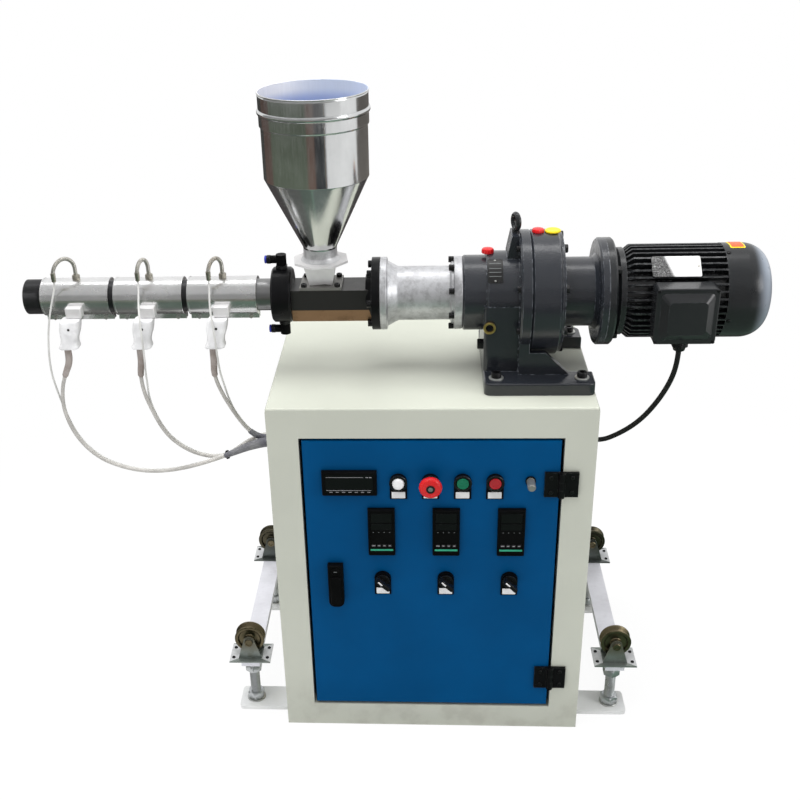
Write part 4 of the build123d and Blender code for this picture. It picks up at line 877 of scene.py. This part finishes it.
band_starts, band_length = (-687.0, -556.0, -425.0), 122.0
lip_low, lip_high, lip_width = 32.6, 33.7, 3.0
band_middles = [start + band_length / 2 for start in band_starts]
band_rims, clamp_screws = [], []
for start in band_starts:
    for end in (start, start + band_length - lip_width):
        near, far = end, end + lip_width
        lip = [(near, lip_low), (near, lip_high), (far, lip_high), (far, lip_low), (near, lip_low)]
        band_rims.append(on_axis(turned(lip, 0.5, 3, 96)))
    for share in (0.12, 0.5, 0.88):
        at = start + share * band_length
        clamp_screws.append(place(hex_head(7, 3.5), (at, axis_y - 6.9, axis_z - 37.5), FRONT))
        clamp_screws.append(place(hex_head(7, 3.5), (at, axis_y + 6.9, axis_z - 37.5), BACK))
build("band_rims", band_rims, "band_steel")
build("clamp_screws", clamp_screws, "zinc")

# A plug's rows: how far down, width, depth and corner radius
plug_y, plug_top, plug_lean = -103.0, 807.0, 0.17
plug_rows = (
    (0, 31, 25, 5), (1.5, 34, 28, 6), (5, 35, 29.5, 6.5), (16, 35, 30, 6.5), (23, 34, 29.6, 7),
    (30, 31.5, 28.2, 7.5), (36, 30, 27, 8), (42, 30.2, 27, 8), (46, 32, 28.2, 8), (49.5, 34.6, 29.2, 8),
    (51.5, 35.6, 29.6, 8), (53, 35, 29.2, 8), (54, 32.5, 27, 7.5),
)
plug = stack(*[
    (rounded(width, depth, corner, middle=(4 - plug_lean * drop, 0)), drop)
    for drop, width, depth, corner in plug_rows
])
plugs = [place(plug, (x - 10, plug_y, plug_top), DOWN) for x in band_middles]
build("plug_bodies", plugs, "ceramic", replaces=["heater_plugs"])
dimple = discs((2.3, 0), (2.3, 0.5), (1.7, 0.5), (1.6, 0.1), count=24)
dimples = [place(dimple, (x - 8, plug_y - 14.9, plug_top - 15), FRONT) for x in band_middles]
build("plug_screws", dimples, "black_metal")
tab = stack((rounded(28, 20, 2.5), 0), (rounded(28, 20, 2.5), 14.5), (rounded(25, 17, 1.5), 16))
build("band_terminals", [place(tab, (x, axis_y - 31, 817), FRONT) for x in band_middles], "cover_steel")


def walked(line):
    """Points along a cord's own spline, in millimetres, from a copy of its curve with no thickness."""
    bare = line.data.copy()
    bare.bevel_depth = 0
    bare.use_fill_caps = False
    stand_in = bpy.data.objects.new("bare_route", bare)
    mesh = bpy.data.meshes.new_from_object(stand_in)
    points = np.empty(len(mesh.vertices) * 3)
    mesh.vertices.foreach_get("co", points)
    bpy.data.objects.remove(stand_in)
    bpy.data.curves.remove(bare)
    bpy.data.meshes.remove(mesh)
    return points.reshape(-1, 3) / METRE


def gone_along(points):
    """The distance gone at each of a line's points."""
    return np.concatenate([[0], np.cumsum(np.linalg.norm(np.diff(points, axis=0), axis=1))])


def stretch_of(points, begin, end, count):
    """Evenly spaced points between two distances along a line of points."""
    wanted = np.linspace(begin, end, count)
    return np.stack([np.interp(wanted, gone_along(points), column) for column in points.T], 1)


cuffs = []
for number in (1, 2, 3):
    run = stretch_of(walked(bpy.data.objects[f"heater_cable_{number}_line"]), 0, 47, 40)
    run = np.concatenate([[run[0] + (0, 0, 16)], run])
    girth = np.interp(np.arange(41), [0, 2, 22, 38, 40], [6.2, 6.4, 6.0, 5.4, 4.2])
    cuffs.append(sweep(run, girth[:, None, None] * ring(1, 24), BACK))
build("plug_cuffs", cuffs, "cuff_fibre")
sleeves = []
for number, sleeve_length, widest in ((1, 98.0, 9.0), (3, 52.0, 6.2)):
    route = walked(bpy.data.objects[f"heater_cable_{number}_line"])
    whole = gone_along(route)[-1]
    run = stretch_of(route, whole - sleeve_length, whole, 60)
    girth = np.interp(np.arange(60), [0, 4, 40, 59], [4.4, 5.4, widest, widest])
    sleeves.append(sweep(run, girth[:, None, None] * ring(1, 24), UP))
build("cable_sleeves", sleeves, "sleeve_braid")

# Each probe rises from its band, arches forward and to the left and comes down to its lead
probe_foot, probe_end, probe_forward = 865.0, 889.0, 39.0
fitting = stack((ring(6.9, 24), 0), (hexagon(12, 24), 1.0), (hexagon(12, 24), 7), (ring(5.6, 24), 8))
ferrule = discs((4.2, 0), (4.2, 10), (3.9, 11), (3.9, 15), (3.2, 15.6), count=24)
arches, arch_fittings = [], []
for x, reach in zip(band_middles, (27.0, 10.0, 17.0)):
    span = math.hypot(reach, probe_forward)
    turn = np.linspace(0, math.pi, 150)
    flat = np.concatenate([
        np.stack([np.zeros(30), np.linspace(0, 18.8, 30)], 1),
        np.stack([span / 2 * (1 - np.cos(turn)), 19 + span / 2 * np.sin(turn)], 1),
        np.stack([np.full(40, span), np.linspace(18.8, 9, 40)], 1),
    ])
    forward = axis_y - probe_forward / span * flat[:, 0]
    run = np.stack([x - reach / span * flat[:, 0], forward, probe_foot + flat[:, 1]], 1)
    coil = 3.1 + 0.55 * np.abs(np.sin(math.pi * gone_along(run) / 2.2))
    arches.append(sweep(run, coil[:, None, None] * ring(1, 20), (probe_forward, -reach, 0)))
    arch_fittings.append(place(fitting, (x, axis_y, probe_foot - 0.4), UP))
    arch_fittings.append(place(ferrule, (x - reach, axis_y - probe_forward, probe_end), DOWN))
build("probe_armour", arches, "spring_steel", replaces=["thermocouples"])
build("probe_fittings", arch_fittings, "brass_dull")

elbow_x, elbow_reach, elbow_foot = -258.5, 64.5, 48.0
elbow_nut = stack((hexagon(19, 24), 0), (hexagon(19, 24), 6), (ring(8.8, 24), 7))
elbow_cuff = turned([(0, 0), (0, 7.6), (7, 7.6), (7, 0)], 0.9, 4, 32)
collet = discs((5.7, 0), (5.7, 1.4), (6.9, 1.8), (6.9, 4.2), (6.3, 4.8), (4.1, 4.8), (4.0, 1.0), count=32)
elbow_nuts, collets = [], []
for side in (1, -1):
    arm_z = axis_z + side * elbow_reach
    elbow_nuts.append(place(elbow_nut, (elbow_x, axis_y, axis_z + side * elbow_foot), (0, 0, side)))
    elbow_nuts.append(place(elbow_cuff, (elbow_x - 18, axis_y, arm_z), LEFT))
    collets.append(place(collet, (elbow_x - 24, axis_y, arm_z), LEFT))
build("elbow_nuts", elbow_nuts, "black_gloss", slot="black_plastic")
build("elbow_collets", collets, "blue_plastic")


# Bolts of the feed block's flange and throat plate
def bolt_circle(bolt, x, out, radius, count, start):
    """A bolt repeated round the extruder's axis on a face at x."""
    return [place(bolt, (x, axis_y + dy, axis_z + dz), out) for dy, dz in round_axis(radius, count, start)]


build("feed_flange_bolts", bolt_circle(socket_screw(6.4, 8.0), -101, LEFT, 52.0, 6, 0.0), "black_gloss")
plate_corners = [(hopper_x + dx, axis_y + dy, axis_z + 23.0) for dx in (-29, 29) for dy in (-25.5, 25.5)]
build("throat_bolts", [place(socket_screw(5.0, 5.5), at, UP) for at in plate_corners], "black_gloss")

# Hopper: turned sheet with its bead, lap and rolled rim, and the cone down to the neck
sheet = 1.2


def hopper_skin(profile):
    """A turned sheet about the hopper's upright axis: heights are from the extruder's axis."""
    return place(lathe(tight(profile), 128), (hopper_x, axis_y, axis_z), UP)


drum_radius, collar_radius, neck_radius = 88.5, 90.7, 29.0
neck_top, cone_top, rim_top = 88.0, 210.0, 350.0
bead_turn = np.linspace(-math.pi / 2, math.pi / 2, 13)
bead = np.stack([319 + 4.5 * np.sin(bead_turn), collar_radius + 2.5 * np.cos(bead_turn)], 1)
roll_turn = np.linspace(-math.pi / 2, 2.07, 17)
roll = np.stack(
    [rim_top - 1.4 + 1.4 * np.sin(roll_turn), collar_radius - 0.4 + 1.4 * np.cos(roll_turn)], 1
)
outside = [(cone_top, drum_radius), (295.4, drum_radius), (296, 88.9), (296, 90.3), (296.6, collar_radius)]
outside += [(313, collar_radius)]
inside = [(306.4, collar_radius - sheet), (306, 89.0), (306, 87.7), (305.4, drum_radius - sheet)]
inside += [(cone_top, drum_radius - sheet), (cone_top, drum_radius)]
drum = np.concatenate([outside, bead, [(325, collar_radius), (346, collar_radius)], roll, inside])
cone_outside = [(65, neck_radius), (neck_top, neck_radius), (cone_top, drum_radius)]
cone_inside = [(cone_top, drum_radius - sheet), (neck_top, neck_radius - sheet), (65, neck_radius - sheet)]
cone_inside += cone_outside[:1]
funnel = np.concatenate([soft(cone_outside + cone_inside[:1], 2.5, 6)[:-1], soft(cone_inside, 2.5, 6)])
hopper_pieces = [
    build("hopper_drum", [hopper_skin(drum)], "stainless", replaces=["hopper_cylinder"], sharp=50),
    build("hopper_funnel", [hopper_skin(funnel)], "stainless", replaces=["hopper_cone"], sharp=50),
]
weld = soft([(65, 29.0), (65, 35), (67, 32.5), (72, 29.6), (80, 29.1), (80, 28.9), (65, 29.0)], 1.2, 5)
build("neck_weld", [hopper_skin(weld)], "aluminium")
seam_turn = math.radians(-74.6)
seams = []
for low, high, reach in (
    (cone_top + 2, 294, drum_radius), (298, 312, collar_radius), (326, 343, collar_radius)
):
    foot = (hopper_x + reach * math.cos(seam_turn), axis_y + reach * math.sin(seam_turn), axis_z)
    rise = np.linspace(0, 1, 30)[:, None] * (0, 0, high - low)
    seams.append(sweep(rise + foot + np.array((0, 0, low)), rounded(1.8, 0.7, 0.3), FRONT))
build("drum_seam", seams, "stainless")
for piece in hopper_pieces:
    skin = piece.data
    skin.materials.append(looks["stainless_inside"])
    skin.materials.append(looks["aluminium"])
    middles, normals = np.empty(len(skin.polygons) * 3), np.empty(len(skin.polygons) * 3)
    skin.polygons.foreach_get("center", middles)
    skin.polygons.foreach_get("normal", normals)
    middles, normals = middles.reshape(-1, 3), normals.reshape(-1, 3)
    away = middles[:, :2] - np.array([hopper_x, axis_y]) * METRE
    inward = (away * normals[:, :2]).sum(1) < 0
    neck = middles[:, 2] < (axis_z + neck_top - 2) * METRE
    skin.polygons.foreach_set("material_index", np.where(neck, 2, inward).astype(np.int32))

# Lantern: a turned casting with soft corners, and the bolts of its flanges
lantern_profile = [
    (-87, 0), (-87, 63.25), (-75, 63.25), (-74, 56.75), (-56, 47.0), (34, 46.6), (36, 54.25), (40.5, 54.25),
    (40.5, 63.25), (55, 63.25), (55, 0),
]
lantern_skin = on_axis(lathe(tight(soft(lantern_profile, 2.2, 6)), 128))
build("lantern_skin", [lantern_skin], "lantern_aluminium", replaces=["lantern"])
build("lantern_bolts", bolt_circle(socket_screw(5.4, 9.0), 40.5, LEFT, 57.6, 8, 22.5), "black_gloss")

# Reducer: bolts round the ring, foot bolts, oil fittings and a bare plate
front_bolts = bolt_circle(socket_screw(5.5, 6.0), 150, LEFT, 97.0, 8, 22.5)
rear_bolts = bolt_circle(hex_head(13, 6.0), 223, RIGHT, 97.0, 8, 22.5)
ring_bolts = [bolt for pair in zip(front_bolts, rear_bolts) for bolt in pair]
build("reducer_bolts", ring_bolts, "black_gloss")
foot_places = [(x, axis_y + dy, 714.0) for x in (112.0, 257.0) for dy in (-101.0, 101.0)]
build("foot_washers", [place(washer(12.5, 2.2), at, UP) for at in foot_places], "zinc")
foot_bolts = [place(socket_screw(8.6, 9), (x, y, z + 2.1), UP) for x, y, z in foot_places]
build("foot_bolts", foot_bolts, "black_gloss")


def oil_cap(radius, height):
    """A filler cap: a fluted rim under a soft dome."""
    turn = np.arange(64) * (2 * math.pi / 64)
    rim = (radius * (0.96 + 0.04 * np.cos(12 * turn)))[:, None] * ring(1, 64)
    return stack((rim, 0), (rim, height * 0.6), (rim * 0.9, height * 0.85), (rim * 0.45, height))


ring_crown = 939.5
snout_cap = place(oil_cap(10.5, 8.5), (98.0, axis_y, 904.0), UP)
crown_cap = place(oil_cap(10.5, 6.5), (182.0, axis_y, ring_crown), UP)
build("oil_caps", [snout_cap, crown_cap], "red_plastic", replaces=["oil_fittings"])
tag = turned([(0, 0), (0, 13.5), (2.8, 13.5), (4.2, 11.5), (3.6, 7), (3.6, 0)], 0.8)
build("oil_tag", [place(tag, (207, axis_y, ring_crown), UP)], "yellow_plastic")
sight_at = (100, -131, 796)
sight = turned([(0, 0), (0, 10.5), (5.4, 10.5), (6, 9.9), (6, 7.2), (3.2, 6.4), (3.2, 0)], 0.5, 4, 48)
build("sight_ring", [place(sight, sight_at, FRONT)], "brass")
sight_lens = turned([(0, 0), (0, 6.5), (3.4, 6.5), (4.4, 4.0), (4.7, 0)], 1.0, 4, 48)
build("sight_glass", [place(sight_lens, sight_at, FRONT)], "display_glass")
build("drain_plug", [place(hex_head(17, 10), (91, -103, 754), LEFT)], "black_gloss")


def even(outline, count=96):
    """An outline's points spread evenly along its sides, so that it can be bent."""
    closed = np.concatenate([outline, outline[:1]])
    return stretch_of(closed, 0, gone_along(closed)[-1] * (1 - 1 / count), count)


def bent_plate(along, angles, radius, thickness, corner=2.5):
    """A thin plate bent round the extruder's axis: a rounded outline whose height is read as arc length."""
    low, high = np.radians(angles)
    middle = (low + high) / 2
    width, height, edge = along[1] - along[0], radius * (high - low), 0.12 * corner
    outer = even(rounded(width, height, corner))
    inner = outer * (1 - 2 * edge / width, 1 - 2 * edge / height)
    shares = np.linspace(0.02, 1.0, 12)
    rows = [(outer, 0), (outer, thickness * 0.6)] + [(inner * share, thickness) for share in shares[::-1]]
    flat = stack(*rows)
    turn = middle + flat[..., 1] / radius
    reach = radius + flat[..., 2]
    x = (along[0] + along[1]) / 2 + flat[..., 0]
    return np.stack([x, axis_y - reach * np.cos(turn), axis_z + reach * np.sin(turn)], 2)


def on_round(shape, x, angle, radius):
    """A local shape standing on a cylinder about the axis, at an angle above the horizontal front."""
    turn = math.radians(angle)
    out = (0, -math.cos(turn), math.sin(turn))
    return place(shape, (x, axis_y + radius * out[1], axis_z + radius * out[2]), out, RIGHT)


rivet = discs((1.7, 0), (1.5, 0.7), (0.8, 1.1), count=20)
build("reducer_plate", [bent_plate((96, 122), (32, 70), 72.0, 0.9)], "plate_black")
plate_lines = [
    bent_plate((99, 119), (angle, angle + 0.8), 72.85, 0.25, 0.3) for angle in (41.0, 47.0, 53.0, 61.0)
]
build("reducer_plate_lines", plate_lines, "grey_print", slot="white_plastic")
build("reducer_plate_rivets", [on_round(rivet, 109, angle, 72.8) for angle in (35.0, 67.0)], "zinc")

# Motor: a bare nameplate and patch, and the bolts of its flanges, box and cowl
motor_plate_x, motor_plate_angle = 407, 49.5
plate_shape = stack((rounded(80, 39, 3), 0), (rounded(80, 39, 3), 0.9), (rounded(79, 38, 2.6), 1.3))
build("motor_plate", [on_round(plate_shape, motor_plate_x, motor_plate_angle, 80.0)], "plate_silver")
motor_rivets = [
    on_round(place(rivet, (dx, 0, 0), UP), motor_plate_x, motor_plate_angle, 81.2) for dx in (-36, 36)
]
build("motor_plate_rivets", motor_rivets, "zinc")
build("cowl_patch_edge", [bent_plate((502, 527), (80, 108), 80.5, 0.5)], "yellow_plastic")
build("cowl_patch", [bent_plate((504, 525), (82, 106), 80.95, 0.4)], "orange_print")
flange_bolts = bolt_circle(hex_head(13, 7), 310, RIGHT, 81.0, 4, 45.0)
flange_bolts += bolt_circle(hex_head(9, 5), 327, RIGHT, 66.0, 4, 45.0)
build("motor_flange_bolts", flange_bolts, "black_gloss")
box_x, box_z = 417.5, 827.5
box_corners = [(box_x + dx, -170, box_z + dz) for dx in (-47, 47) for dz in (-44.5, 44.5)]
build("terminal_box_screws", [place(pan_screw(3.0, 1.4), at, FRONT) for at in box_corners], "black_gloss")
gland = stack(
    (ring(13, 24), 0), (hexagon(25, 24), 1.0), (hexagon(25, 24), 8), (ring(11, 24), 9), (ring(9.6, 24), 15),
    (ring(6.4, 24), 17),
)
build("box_gland", [place(gland, (414, -157, 779.5), DOWN)], "black_gloss", slot="black_plastic")
cowl_screws = [
    place(pan_screw(3.6, 2.2), (496, axis_y + dy, axis_z + dz), (0, dy, dz))
    for dy, dz in round_axis(80.3, 4, 20.0)
]
build("cowl_screws", cowl_screws, "black_gloss")

# Cable entries, and a tie round two of the heater cables
entry = stack(
    (rounded(70, 28, 13), 0), (rounded(70, 28, 13), 3), (rounded(66, 24, 11.5), 4),
    (rounded(64, 22, 10.8), 12), (rounded(61, 19, 9.3), 14.5), (rounded(50, 12, 5.8), 14.5),
    (rounded(48, 10, 4.8), 11),
)
build("left_entry", [place(entry, (-280, -53, 545), LEFT, BACK)], "black_rubber")
right_entry = discs((15, 0), (15, 2.6), (11.5, 4), (10.4, 13), (7, 14.5), count=32)
build("right_entry", [place(right_entry, (280, -100, 563), RIGHT)], "black_rubber")
tie_loop = [(-2.0, 10.2), (-2.0, 11.3), (2.0, 11.3), (2.0, 10.2), (-2.0, 10.2)]
tie = turned(tie_loop, 0.3, 3, 48) * (1.0, 0.66, 1.0)
build("cable_tie", [place(tie, (-384, -66, 514), (1.0, 0.05, 0.3), BACK)], "black_plastic")

# Undercarriage: threaded jack screws with their nuts, grooved wheels and the brackets' bolts
corners = [(sx * screw_x, sy * 163.0) for sx in (-1, 1) for sy in (-1, 1)]
thread_pitch = 2.5
thread_rows, thread_turns = np.linspace(8.0, 111.0, 206)[:, None], (np.arange(32) / 32)[None]
thread_phase = (thread_rows / thread_pitch - thread_turns) % 1.0
thread_reach = 10.0 - 0.95 * np.abs(2 * thread_phase - 1)
thread_angle = 2 * math.pi * thread_turns
thread_height = np.broadcast_to(thread_rows, thread_reach.shape)
thread = np.stack(
    [thread_reach * np.cos(thread_angle), thread_reach * np.sin(thread_angle), thread_height], 2
)
thread = np.concatenate([thread[:1] * (0, 0, 1), thread, thread[-1:] * (0, 0, 1)])
build("jack_threads", [thread + (x, y, 0) for x, y in corners], "screw_steel", replaces=["jack_screws"])
full_nut = stack((ring(14.4), 0), (hexagon(30), 2), (hexagon(30), 14), (ring(14.4), 16))
nuts = [place(full_nut, (x, y, z), UP) for x, y in corners for z in (10.0, 79.0, 95.0)]
build("jack_nuts", nuts, "screw_steel")
build("jack_washers", [place(washer(18.5, 2.4), (x, y, 8.0), UP) for x, y in corners], "zinc")

wheel_y, wheel_z, cheek_y = 174.0, 168.0, 20.9
wheel_half = [(10, 9.5), (7.6, 11), (7.2, 20.5), (9.8, 22.5), (10, 28.6), (7.4, 29), (4.6, 25.6), (2.2, 22.6)]
wheel_left = [(-along, reach) for along, reach in wheel_half]
wheel_profile = [(-14.7, 5.1), (-14.7, 9)] + wheel_left + [(0, 22)] + wheel_half[::-1]
wheel = turned(wheel_profile + [(14.7, 9), (14.7, 5.1), (-14.7, 5.1)], 1.0, 4, 96)
axle_head = discs((8, 0), (8, 1.6), (7, 2.6), (4.4, 2.6), (4.0, 1.6))
axle_heads, bracket_bolts = [], []
for sx, side in ((-1, "left"), (1, "right")):
    # The rear wheels take a darker copy of the front wheels' look: painted shade
    for sy, depth, look in ((-1, "front", "yellow_zinc"), (1, "rear", "oiled_zinc")):
        x, y, node = sx * screw_x, sy * wheel_y, f"track_wheel_{depth}_{side}"
        build(f"{node}_skin", [place(wheel, (x, y, wheel_z), BACK)], look, node, replaces=[node])
        axle_heads.append(place(axle_head, (x, y - cheek_y, wheel_z), FRONT))
        axle_heads.append(place(hex_head(13, 4), (x, y + cheek_y, wheel_z), BACK))
        tabs = [(x + dx, y + dy, 128) for dx in (-33, 33) for dy in (-15, 15)]
        bracket_bolts += [place(pan_screw(3.4, 2.2), at, UP) for at in tabs]
build("axle_heads", axle_heads, "yellow_zinc")
build("bracket_bolts", bracket_bolts, "black_gloss")

# Camera as fitted to the photograph: focal length in pixels, angles in degrees
image_size = 800.0
focal, middle_u, middle_v = 1098.3, 354.7, 427.2
pitch, yaw, roll = (math.radians(angle) for angle in (27.43, -4.25, 2.08))
ahead = Vector((math.sin(yaw) * math.cos(pitch), math.cos(yaw) * math.cos(pitch), -math.sin(pitch)))
level_right = Vector((math.cos(yaw), -math.sin(yaw), 0))
level_down = ahead.cross(level_right)
right = math.cos(roll) * level_right + math.sin(roll) * level_down
down = -math.sin(roll) * level_right + math.cos(roll) * level_down
camera_data = bpy.data.cameras.new("photo_camera")
camera_data.sensor_width = 36.0
camera_data.lens = 36.0 * focal / image_size
camera_data.shift_x = (image_size / 2 - middle_u) / image_size
camera_data.shift_y = (middle_v - image_size / 2) / image_size
camera = linked("photo_camera", camera_data)
camera.matrix_world = Matrix.Translation((-0.00609, -1.87337, 1.51251)) @ Matrix(
    [[right[i], -down[i], -ahead[i]] for i in range(3)]
).to_4x4()
bpy.context.scene.camera = camera


# Floor, world and lamps
def seen(start):
    """1 for rays that should meet the pale background: from the camera, by gloss or through glass."""
    path = start.tree.nodes.new("ShaderNodeLightPath")
    camera_ray, glossy, through = [
        Wire(start.tree, path.outputs[name])
        for name in ("Is Camera Ray", "Is Glossy Ray", "Is Transmission Ray")
    ]
    return (camera_ray + glossy + through).maths("MINIMUM", camera_ray + glossy + through, 1.0)


def pale_floor(start):
    """White: lit by the lamps, and mixed with a glow for rays that meet the background, most far out."""
    lit = start.node("ShaderNodeBsdfDiffuse", None, {"Color": WHITE})
    glow = start.node("ShaderNodeEmission", None, {"Color": WHITE, "Strength": 1.0})
    reach = start.node("ShaderNodeVectorMath", {"operation": "LENGTH"}, {0: start.coordinates()}, 1)
    share = seen(start) * (0.92 + reach.step(0.5, 1.6) * 0.08)
    return start.node("ShaderNodeMixShader", None, {0: share, 1: lit, 2: glow})


floor_mesh = bpy.data.meshes.new("floor")
floor_mesh.from_pydata([(-8, -8, 0), (8, -8, 0), (8, 8, 0), (-8, 8, 0)], [], [(0, 1, 2, 3)])
floor_mesh.materials.append(surfaced(bpy.data.materials.new("pale_floor"), pale_floor))
linked("floor", floor_mesh)


def arc(radius, begin, end):
    """Floor points in metres round the hopper, from one angle to another from the front to the right."""
    turn = np.radians(np.linspace(begin, end, 49))
    return np.stack([hopper_x * METRE + radius * np.sin(turn), axis_y * METRE - radius * np.cos(turn)], 1)


def flag(name, inner, outer, tone, height=0.003):
    """A matt patch of the room between two lines of points, which only reflections meet."""
    rows = np.stack([inner, outer])
    heights = np.broadcast_to(np.array(height, float).reshape(-1, 1, 1), (*rows.shape[:2], 1))
    points = np.concatenate([rows, heights], 2)
    count = rows.shape[1]
    first = np.arange(count - 1)
    mesh = bpy.data.meshes.new(name)
    quads = np.stack([first, first + 1, first + count + 1, first + count], 1)
    mesh.from_pydata(points.reshape(-1, 3).tolist(), [], quads.tolist())

    def matt(start):
        return start.node("ShaderNodeBsdfDiffuse", None, {"Color": (*tone, 1)})

    mesh.materials.append(surfaced(bpy.data.materials.new(name), matt))
    card = linked(name, mesh)
    card.visible_camera = False
    card.visible_diffuse = False
    card.visible_transmission = False
    card.visible_shadow = False


near_edge, far_edge, room_edge, wall_edge = 0.42, 2.6, 9.0, 6.5
wall_top, ceiling_edge, ceiling_top = 3.6, 1.5, 6.0
door_near, door_far = ([(-0.28, y), (0.28, y)] for y in (-0.235, -0.9))
flag("door_flag", door_near, door_far, (0.1, 0.12, 0.11), 0.005)
wall, ceiling = arc(wall_edge, -115, 62), arc(ceiling_edge, -115, 62)
flag("wall_flag", wall, wall, (0.55, 0.55, 0.545), (0.0, wall_top))
flag("ceiling_flag", wall, ceiling, (0.85, 0.85, 0.85), (wall_top, ceiling_top))
near_sectors = (
    (-118, -50, (0.085, 0.088, 0.083)),
    (-50, -15, (0.075, 0.097, 0.082)),
    (-15, 118, (0.12, 0.19, 0.145)),
    (118, 242, (0.06, 0.055, 0.055)),
)
far_sectors = (
    (-174, -132, (0.1, 0.1, 0.095)),
    (-132, -101, (0.2, 0.14, 0.12)),
    (-101, -12, (0.19, 0.225, 0.17)),
    (-12, 4, (0.26, 0.18, 0.15)),
    (4, 28, (0.08, 0.085, 0.09)),
    (104, 170, (0.25, 0.23, 0.21)),
)
for name, inner, outer, sectors in (
    ("near_flag", near_edge, far_edge, near_sectors),
    ("far_flag", far_edge, room_edge, far_sectors),
):
    for number, (begin, end, tone) in enumerate(sectors):
        flag(f"{name}_{number}", arc(inner, begin, end), arc(outer, begin, end), tone)


def pale_air(start):
    """White, and brighter for rays that meet the background than as a light on the machine."""
    return start.node("ShaderNodeBackground", None, {"Color": WHITE, "Strength": seen(start) * 0.56 + 0.44})


bpy.context.scene.world = surfaced(bpy.data.worlds.new("studio"), pale_air, "World")


def lamp(name, place_at, aim, size, power, depth=None):
    """A soft box at a place, turned towards its aim: square, or a strip of that depth."""
    data = bpy.data.lights.new(name, "AREA")
    data.shape = "RECTANGLE"
    data.size = size
    data.size_y = depth or size
    data.energy = power
    box = linked(name, data)
    box.location = place_at
    box.rotation_mode = "QUATERNION"
    box.rotation_quaternion = (Vector(aim) - Vector(place_at)).to_track_quat("-Z", "Y")
    return box


for box in (
    lamp("key_box", (-1.6, -2.2, 3.2), (0, 0, 0.7), 1.6, 12.0),
    lamp("top_box", (-0.5, -0.2, 3.4), (0, 0, 0.7), 2.8, 150.0),
):
    box.visible_glossy = False
lamp("glint_strip", (-0.1, 0.6, 3.3), (-0.1, 0, 0.7), 2.6, 13.0, 0.35)
lamp("side_box", (2.6, -1.4, 1.8), (0, 0, 0.7), 1.2, 20.0)

bpy.context.scene.view_settings.view_transform = "Standard"
